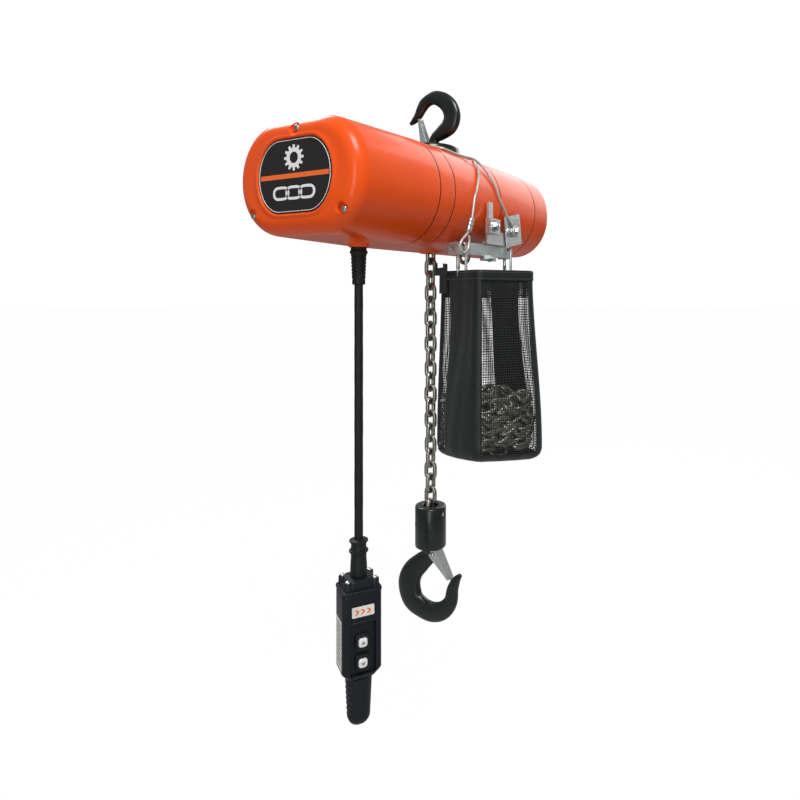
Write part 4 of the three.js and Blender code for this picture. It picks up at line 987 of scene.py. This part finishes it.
# ---------------------------------------------------------------- safety rope
ROPE_RADIUS = 1.8
FERRULE_TOP = (-51, -100.5, -178)
FERRULE_FOOT = (-58, -99.5, -196)


def flank_line(*places):
    """Points off the housing's -Y flank from (x, degrees up from the horizontal, distance off)."""
    points = []
    for x, degrees, *off in places:
        a = math.radians(degrees)
        clear = off[0] if off else ROPE_RADIUS + 0.3
        points.append((x, -FLAT - (ROUND + clear) * math.cos(a),
                       AXIS_Z + (RISE + clear) * math.sin(a)))
    return points


def collar_line(*places):
    """Points on the housing's top beside the collar from (degrees round it, distance off)."""
    points = []
    for degrees, slack in places:
        a, r = math.radians(degrees), COLLAR_RADIUS + ROPE_RADIUS + 0.6 + slack
        points.append((r * math.cos(a), r * math.sin(a), SHELL_HIGH.z + ROPE_RADIUS + 0.4))
    return points


def stranded(points, count, turns_per_mm=0.045):
    """A laid wire rope: six round strands twisting round one another."""
    path = spline(points, count)
    along = run_length(path)

    def section(i):
        ring = []
        for k in range(30):
            a = FULL * k / 30
            lobe = abs(math.cos(3 * (a - FULL * along[i] * turns_per_mm)))
            r = ROPE_RADIUS - 0.55 + 0.6 * lobe ** 0.6
            ring.append((r * math.cos(a), r * math.sin(a)))
        return ring

    return sweep(path, section)


def safety_rope():
    """Up the flank from its ferrule, round the collar with some slack, and down to the tag."""
    low, high = box_mm("rope_bolt")
    line = [FERRULE_FOOT, FERRULE_TOP,
            *flank_line((-42.4, -1, 3.2), (-34.2, 8), (-23.9, 21), (-13, 33), (-2.6, 45), (9, 57),
                        (24, 72)),
            *collar_line((-38, 3), (0, 0), (40, 0), (85, 0), (130, 0), (170, 10), (205, 26)),
            *flank_line((-64, 66), (-48, 61.5), (-32, 61), (-14, 59, 3.2), (2, 53.5, 5.4),
                        (14, 40, 3.4), (24.2, 22), (36, 2.5)),
            (48, -101.5, -160), ((low.x + high.x) / 2 - 3, -105.4, low.z + 9)]
    eye = [(-59, -99.6, -197), (-68, -99.8, -203), (-77, -99.6, -210), (-79.5, -99.2, -217),
           (-74, -98.8, -223.5), (-66, -98.6, -224), (-58.5, -98.8, -218), (-55.5, -99.2, -209),
           (-56.5, -99.6, -201)]
    end_eye = [(low.x + 6 + 7.5 * math.cos(a), -105.6, low.z + 6 + 7.5 * math.sin(a))
               for a in np.linspace(math.pi * 0.55, math.pi * 2.45, 12)]
    strands = [stranded(line, 620), stranded(eye, 110), stranded(end_eye, 70)]
    on_housing("safety_rope_strands", strands, "rope_steel", "safety_rope", sharp=60)


safety_rope()


def ferrule():
    """The swaged sleeve: oval, softened at both ends, with two press marks."""
    sizes = []
    for s in np.linspace(0, 1, 30):
        swell = min(1.0, 0.78 + min(s, 1 - s) * 4)
        press = sum(0.35 * math.exp(-((s - mark) / 0.05) ** 2) for mark in (0.35, 0.65))
        sizes.append(swell * 4.7 - press)

    def section(i):
        return [(u, v * 0.8) for u, v in circle(sizes[i], 20)]

    path = spline([FERRULE_TOP, FERRULE_FOOT], 30)
    on_housing("rope_ferrule_sleeve", [sweep(path, section, up=(0, 1, 0))], "bright_zinc",
               "rope_ferrule")


ferrule()


# ---------------------------------------------------------------- snap links
def snap_link(name):
    """An oval link of round wire with a sprung gate along one side."""
    low, high = box_mm(name)
    at = middle(name)
    thick = (high.x - low.x) / 2
    bend = (high.y - low.y) / 2 - thick
    reach = (high.z - low.z) / 2 - thick - bend
    path = [(at.x, at.y + y, at.z + z) for y, z in stadium(reach, bend, 11)]
    foot, top = at.z - reach * 0.7, at.z + reach * 0.35
    gate = lathe([(thick + 0.1, foot), (thick + 0.7, foot + 1), (thick + 0.7, top),
                  (thick + 0.1, top + 1)], "z", (at.x, at.y + bend), 20)
    piece(name + "_wire", [tube(path, thick, 14, closed=True), gate], "bright_zinc", "chain_bag",
          name, sharp=50)


snap_link("bag_hook_left")
snap_link("bag_hook_right")


# ---------------------------------------------------------------- chain bag
BAG_AT = middle("chain_bag").xy
BAG_PLACE = Matrix.Translation((*BAG_AT, 0)) @ Matrix.Rotation(math.radians(-27), 4, "Z")
BAG_TOP = box_mm("chain_bag")[1].z
BAG_FOOT = box_mm("chain_bag")[0].z - 4
BAG_ROUND = 17.0
WALL_LENGTH = BAG_TOP - BAG_FOOT - BAG_ROUND
FOOT_LENGTH = WALL_LENGTH + BAG_ROUND * QUARTER
STRAIGHT, TURN = 28, 8
SIDE = STRAIGHT + TURN
COLUMNS = 4 * SIDE


def bag_ring(down, proud=0.0):
    """The pouch's outline a distance down its wall, which turns under at the foot.

    The walls pull in between the corners above the heap of chain and bulge beside it."""
    if down <= WALL_LENGTH:
        z, inset = BAG_TOP - down, 0.0
    else:
        a = min(QUARTER, (down - WALL_LENGTH) / BAG_ROUND)
        z = BAG_FOOT + BAG_ROUND * (1 - math.sin(a)) - proud * math.sin(a)
        inset = BAG_ROUND * (1 - math.cos(a))
    share = min(1.0, down / WALL_LENGTH)
    soft = share * share * (3 - 2 * share)
    half_x, half_y = 47.5 + 10.5 * soft - inset + proud, 51 + 4.6 * soft - inset + proud
    corner = max(2.0, 11 + 4 * soft - 0.3 * inset)
    pull = -3.4 * math.sin(math.pi * min(1.0, share / 0.66)) ** 2
    bulge = 3.0 * math.sin(math.pi * max(0.0, (share - 0.6) / 0.4) * 0.62)
    ring = []
    for k, (sx, sy) in enumerate(((1, 1), (-1, 1), (-1, -1), (1, -1))):
        along = (half_y if k % 2 == 0 else half_x) - corner
        out = half_x if k % 2 == 0 else half_y
        phase = k * 1.7
        for j in range(STRAIGHT):
            u = -1 + 2 * j / STRAIGHT
            crease = 0.8 * math.sin(5.2 * u + phase + share * 3) * math.exp(-6 * share)
            crease += 0.45 * math.sin(9 * u + 2 * phase + share * 7)
            a, b = u * along, out + (pull + bulge + crease) * (1 - u * u)
            ring.append(((b, a), (-a, b), (-b, -a), (a, -b))[k])
        for j in range(TURN):
            a = QUARTER * (k + j / TURN)
            ring.append((sx * (half_x - corner) + corner * math.cos(a),
                         sy * (half_y - corner) + corner * math.sin(a)))
    lean, back = 2.5 * soft, 3.0 * (1 - soft)
    return [(x + lean, y + back, z + share ** 2 * (3 - 11 * min(1.2, (x + y) / 104 + 1)))
            for x, y in ring]


def on_bag(name, shells, finish, *nodes, sharp=60, bevel=0.0):
    return piece(name, shells, finish, "chain_bag", *nodes, sharp=sharp, place=BAG_PLACE,
                 bevel=bevel)


def bag_cloth(name, low, high, spacing, columns, thick, proud=0.0, finish="black_webbing",
              open_weave=0.0, nodes=()):
    """A sheet of the pouch over a run down the wall and of columns round it, thickened."""
    levels = np.linspace(low, high, max(2, round((high - low) / spacing) + 1))
    rings = [bag_ring(down, proud) for down in levels]
    verts = [ring[c % COLUMNS] for ring in rings for c in columns]
    wide = len(columns)
    faces = []
    for i in range(len(rings) - 1):
        for j in range(wide if wide == COLUMNS else wide - 1):
            k = (j + 1) % wide
            faces.append((i * wide + j, (i + 1) * wide + j, (i + 1) * wide + k, i * wide + k))
    thicken(on_bag(name, [(verts, faces)], finish, *nodes), thick, open_weave)


ALL_ROUND = range(COLUMNS)
bag_cloth("bag_mesh", 9, FOOT_LENGTH - 14, 3.4, ALL_ROUND, 0.5, finish="black_mesh",
          open_weave=0.52, nodes=("chain_bag",))
bag_cloth("bag_mesh_lining", 8, 37, 3.1, ALL_ROUND, 0.5, -1.6, "black_mesh", 1.05)
bag_cloth("bag_strap_front", 1, FOOT_LENGTH, 5, range(2 * SIDE + 8, 3 * SIDE - 1), 1.1, 1.3)
bag_cloth("bag_strap_back", 1, FOOT_LENGTH, 5, range(10, STRAIGHT + TURN // 2 + 2), 1.1, 1.3)
for corner_number, first, last in ((1, 0, 3), (3, -1, 7)):
    start = corner_number * SIDE + STRAIGHT
    bag_cloth(f"bag_corner_tape_{corner_number}", 4, FOOT_LENGTH, 5,
              range(start + first, start + last + 1), 0.8, 0.8)


def bag_hem_and_foot():
    """The doubled tape rolled over the mouth's edge, and the cloth foot, which sags a little."""
    hem = [bag_ring(down, proud) for down, proud in (
        (13.5, 0.6), (13.5, 1.5), (8, 1.6), (2, 1.6), (0.2, 1.2), (-0.6, 0.2), (0.2, -1.1),
        (2, -1.5), (12, -1.5), (12.5, -0.6))]
    on_bag("bag_hem_tape", [loft(hem, around=True)], "black_webbing")
    rings = [bag_ring(FOOT_LENGTH - up, proud)
             for up, proud in ((19, 1.0), (15, 1.1), (11, 1.1), (5, 1.1), (0, 1.1))]
    rim = np.array(rings[-1])
    centre = np.mean(rim, axis=0)
    for share, sag in ((0.75, 0.8), (0.5, 1.4), (0.25, 1.8), (0.02, 2.0)):
        rings.append(centre + (rim - centre) * share - np.array((0, 0, sag)))
    foot = on_bag("bag_foot_panel", [loft(rings, ends=False)], "black_webbing")
    thicken(foot, 1.0)


bag_hem_and_foot()


def bag_tabs():
    """The two-pronged pull tab and the folded patch behind it, at the left rear corner."""
    outline = [(y, BAG_TOP + up) for y, up in ((16, -6), (16, 10), (27, 11), (27, 5.5), (43, 5.0),
                                               (43, 12), (50, 13), (52, -6))]
    on_bag("bag_pull_tab", [plate(outline, -56.6, -55.0, "x")], "black_webbing", sharp=30,
           bevel=0.4)
    bag_cloth("bag_corner_patch", 2, 31, 5, range(SIDE + STRAIGHT - 2, SIDE * 2 + 7), 1.4, 2.2)


bag_tabs()


def stitches():
    """Rows of lock stitches along the hem and both edges of each strap."""
    shells = []

    def between(ring, column, share):
        a, b = np.array(ring[column]), np.array(ring[(column + 1) % COLUMNS])
        return a + (b - a) * share

    def stitch(a, b):
        shells.append(tube([a, (a + b) / 2, b], 0.33, 5))

    for down, proud in ((2.6, 1.9), (11.4, 1.8)):
        ring = bag_ring(down, proud)
        for c in range(COLUMNS):
            stitch(between(ring, c, 0.12), between(ring, c, 0.8))
    for column, part in ((2 * SIDE + 8, 0.5), (3 * SIDE - 3, 0.4), (10, 0.6), (STRAIGHT + 4, 0.2)):
        for down in np.arange(16, WALL_LENGTH, 4.2):
            stitch(between(bag_ring(down, 1.55), column, part),
                   between(bag_ring(down + 2.9, 1.55), column, part))
    on_bag("bag_stitching", shells, "thread")


stitches()


HEAP_TURNS, HEAP_REACH, HEAP_TOP = 13.5, (46.5, 45.0), -427
HEAP_PITCH = PITCH * 0.98


def heaped_chain():
    """Chain lying in loops in the pouch, one link after another, over a packed core in painted shade."""
    draw = random.Random(11)
    floor = BAG_FOOT + 12
    steps = 1400
    path = []
    for s in np.arange(steps) / steps:
        a = s * FULL * HEAP_TURNS + 0.5 * math.sin(s * 47)
        hug = 1.0 - 0.8 * max(0.0, (s - 0.8) / 0.2) - 0.05 * (1 + math.sin(a * 1.7))
        square = (abs(math.cos(a)) ** 8 + abs(math.sin(a)) ** 8) ** -0.125
        lift = 9 * math.sin(a * 2.37 + s * 20) * min(1.0, 0.3 + s * 3)
        path.append((HEAP_REACH[0] * hug * square * math.cos(a),
                     HEAP_REACH[1] * hug * square * math.sin(a),
                     max(floor, floor + (HEAP_TOP - floor) * min(1.0, s / 0.85) + lift)))
    path = np.array(path)
    along = run_length(path)

    def point_at(distance):
        return Vector([np.interp(distance, along, path[:, c]) for c in range(3)])

    shells = []
    for k in range(int(along[-1] / HEAP_PITCH)):
        at = (k + 0.5) * HEAP_PITCH
        aim = (point_at(at + 6) - point_at(at - 6)).to_track_quat("Z", "Y").to_matrix().to_4x4()
        roll = math.pi / 4 + (k % 2) * QUARTER + draw.uniform(-0.35, 0.35)
        jog = Vector([draw.uniform(-0.8, 0.8) for _ in range(3)])
        place = Matrix.Translation(point_at(at) + jog) @ aim @ Matrix.Rotation(roll, 4, "Z")
        shells.append(link_shell(place, 8))
    on_bag("chain_heap", shells, "dark_chain", "stored_chain")
    # Painted shade: the core stands for the chain packed inside the heap, made near black in the forged
    # finish for the shade between the links.
    core = []
    for z, size in ((floor - 1, 0.8), (floor + 8, 0.98), (HEAP_TOP - 20, 0.95),
                    (HEAP_TOP - 7, 0.8), (HEAP_TOP - 1, 0.5)):
        core.append([(x * size + 1.5 * math.sin(0.3 * z + 5 * k), y * size, z)
                     for k, (x, y) in enumerate(rounded(92, 92, 18, 8))])
    on_bag("chain_heap_core", [loft(core)], "forged_black")


heaped_chain()


# ---------------------------------------------------------------- pieces inside, kept as designed
INSIDE = {
    "steel": ("motor_bearing_front", "motor_bearing_rear", "chain_guide", "chain_stripper",
              "limit_guide", "suspension_hook_nut", "lift_wheel", "output_gear",
              "intermediate_gear", "motor_rotor", "brake_disc", "brake_armature", "limit_screw",
              "load_hook_nut"),
    "copper": ("motor_stator", "transformer", "brake_coil"),
    "zinc": ("panel_plate",),
    "bright_zinc": ("chain_pin",),
    "grey_plastic": ("contactor", "limit_nut_upper", "limit_nut_lower"),
    "black_rubber": ("cable_inlet",),
    "chain_steel": ("chain_on_wheel",),
}
for finish, names in INSIDE.items():
    for name in names:
        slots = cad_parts[name].data.materials
        slots.clear()
        slots.append(LOOKS[finish])


# ---------------------------------------------------------------- room, light and camera
def seen_or_lit(tree, seen, lit, share=1.0):
    """One shader for what the camera sees and one for the light that it sends on."""
    rays = add(tree, "LightPath").outputs["Is Camera Ray"]
    scaled = add(tree, "Math", operation="MULTIPLY")
    scaled.inputs[1].default_value = share
    mix = add(tree, "MixShader")
    wire(tree, rays, scaled.inputs[0])
    wire(tree, scaled.outputs[0], mix.inputs[0])
    wire(tree, lit, mix.inputs[1])
    wire(tree, seen, mix.inputs[2])
    return mix.outputs[0]


def studio():
    """A pale floor under the hoist and a soft white surround."""
    floor = bpy.data.materials.new("pale_floor")
    floor.use_nodes = True
    tree = floor.node_tree
    shader = tree.nodes["Principled BSDF"]
    shader.inputs["Base Color"].default_value = (0.4, 0.4, 0.4, 1)
    shader.inputs["Roughness"].default_value = 0.75
    glow = add(tree, "Emission", Color=(1, 1, 1, 1), Strength=1.03)
    wire(tree, seen_or_lit(tree, glow.outputs[0], shader.outputs[0], 0.95),
         tree.nodes["Material Output"].inputs["Surface"])
    data = bpy.data.meshes.new("floor")
    level, reach = -1.06, 30
    corners = ((-1, -1), (1, -1), (1, 1), (-1, 1))
    data.from_pydata([(x * reach, y * reach, level) for x, y in corners], [], [(0, 1, 2, 3)])
    data.materials.append(floor)
    ground = bpy.data.objects.new("floor", data)
    bpy.context.collection.objects.link(ground)
    world = bpy.data.worlds.new("studio")
    bpy.context.scene.world = world
    world.use_nodes = True
    tree = world.node_tree
    tree.nodes.clear()
    seen, lit = (add(tree, "Background", Color=(1, 1, 1, 1), Strength=strength).outputs[0]
                 for strength in (1.05, 0.36))
    wire(tree, seen_or_lit(tree, seen, lit), add(tree, "OutputWorld").inputs["Surface"])


studio()


def softbox(name, place, target, size, watts):
    """An area light aimed at a point; places in metres."""
    lamp = bpy.data.lights.new(name, "AREA")
    lamp.shape = "RECTANGLE"
    lamp.size, lamp.size_y = size
    lamp.energy = watts
    holder = bpy.data.objects.new(name, lamp)
    holder.location = place
    holder.rotation_euler = (Vector(target) - Vector(place)).to_track_quat("-Z", "Y").to_euler()
    bpy.context.collection.objects.link(holder)


softbox("key", (-1.1, -1.2, 1.6), (-0.1, 0, -0.15), (0.9, 0.9), 46)
softbox("haze", (2.5, -0.1, 0.9), (0.1, 0, -0.2), (2.0, 2.0), 27)
softbox("rear", (0.3, 1.6, 1.5), (-0.1, 0, -0.1), (1.3, 0.7), 28)
softbox("low_left", (-1.9, -0.9, -0.2), (-0.2, 0, -0.4), (0.5, 1.3), 9)


def camera():
    """A level camera off the near left corner, its picture shifted to hold the whole hoist.

    The shift is keyed to the camera's own x + y, and fades out away from the photo's place, so
    that a view from any other side is centred."""
    data = bpy.data.cameras.new("camera")
    data.lens, data.sensor_width = 28.265, 36
    place, aim = Vector((-0.7838, -0.5235, -0.2759)), Vector((0.8796, 0.4756, 0))
    holder = bpy.data.objects.new("camera", data)
    holder.location = place
    holder.rotation_euler = aim.to_track_quat("-Z", "Y").to_euler()
    bpy.context.collection.objects.link(holder)
    bpy.context.scene.camera = holder
    for path, shift in (("shift_x", -0.1116), ("shift_y", -0.1359)):
        curve = data.driver_add(path)
        curve.driver.type = "SUM"
        for axis in "xy":
            at = curve.driver.variables.new()
            at.type = "SINGLE_PROP"
            at.targets[0].id = holder
            at.targets[0].data_path = "location." + axis
        for modifier in list(curve.modifiers):
            curve.modifiers.remove(modifier)
        curve.keyframe_points.clear()
        for step, value in ((-0.05, 0), (-0.02, shift), (0.02, shift), (0.05, 0)):
            key = curve.keyframe_points.insert(place.x + place.y + step, value)
            key.interpolation = "LINEAR"
        curve.extrapolation = "CONSTANT"


camera()
bpy.context.scene.view_settings.view_transform = "Standard"
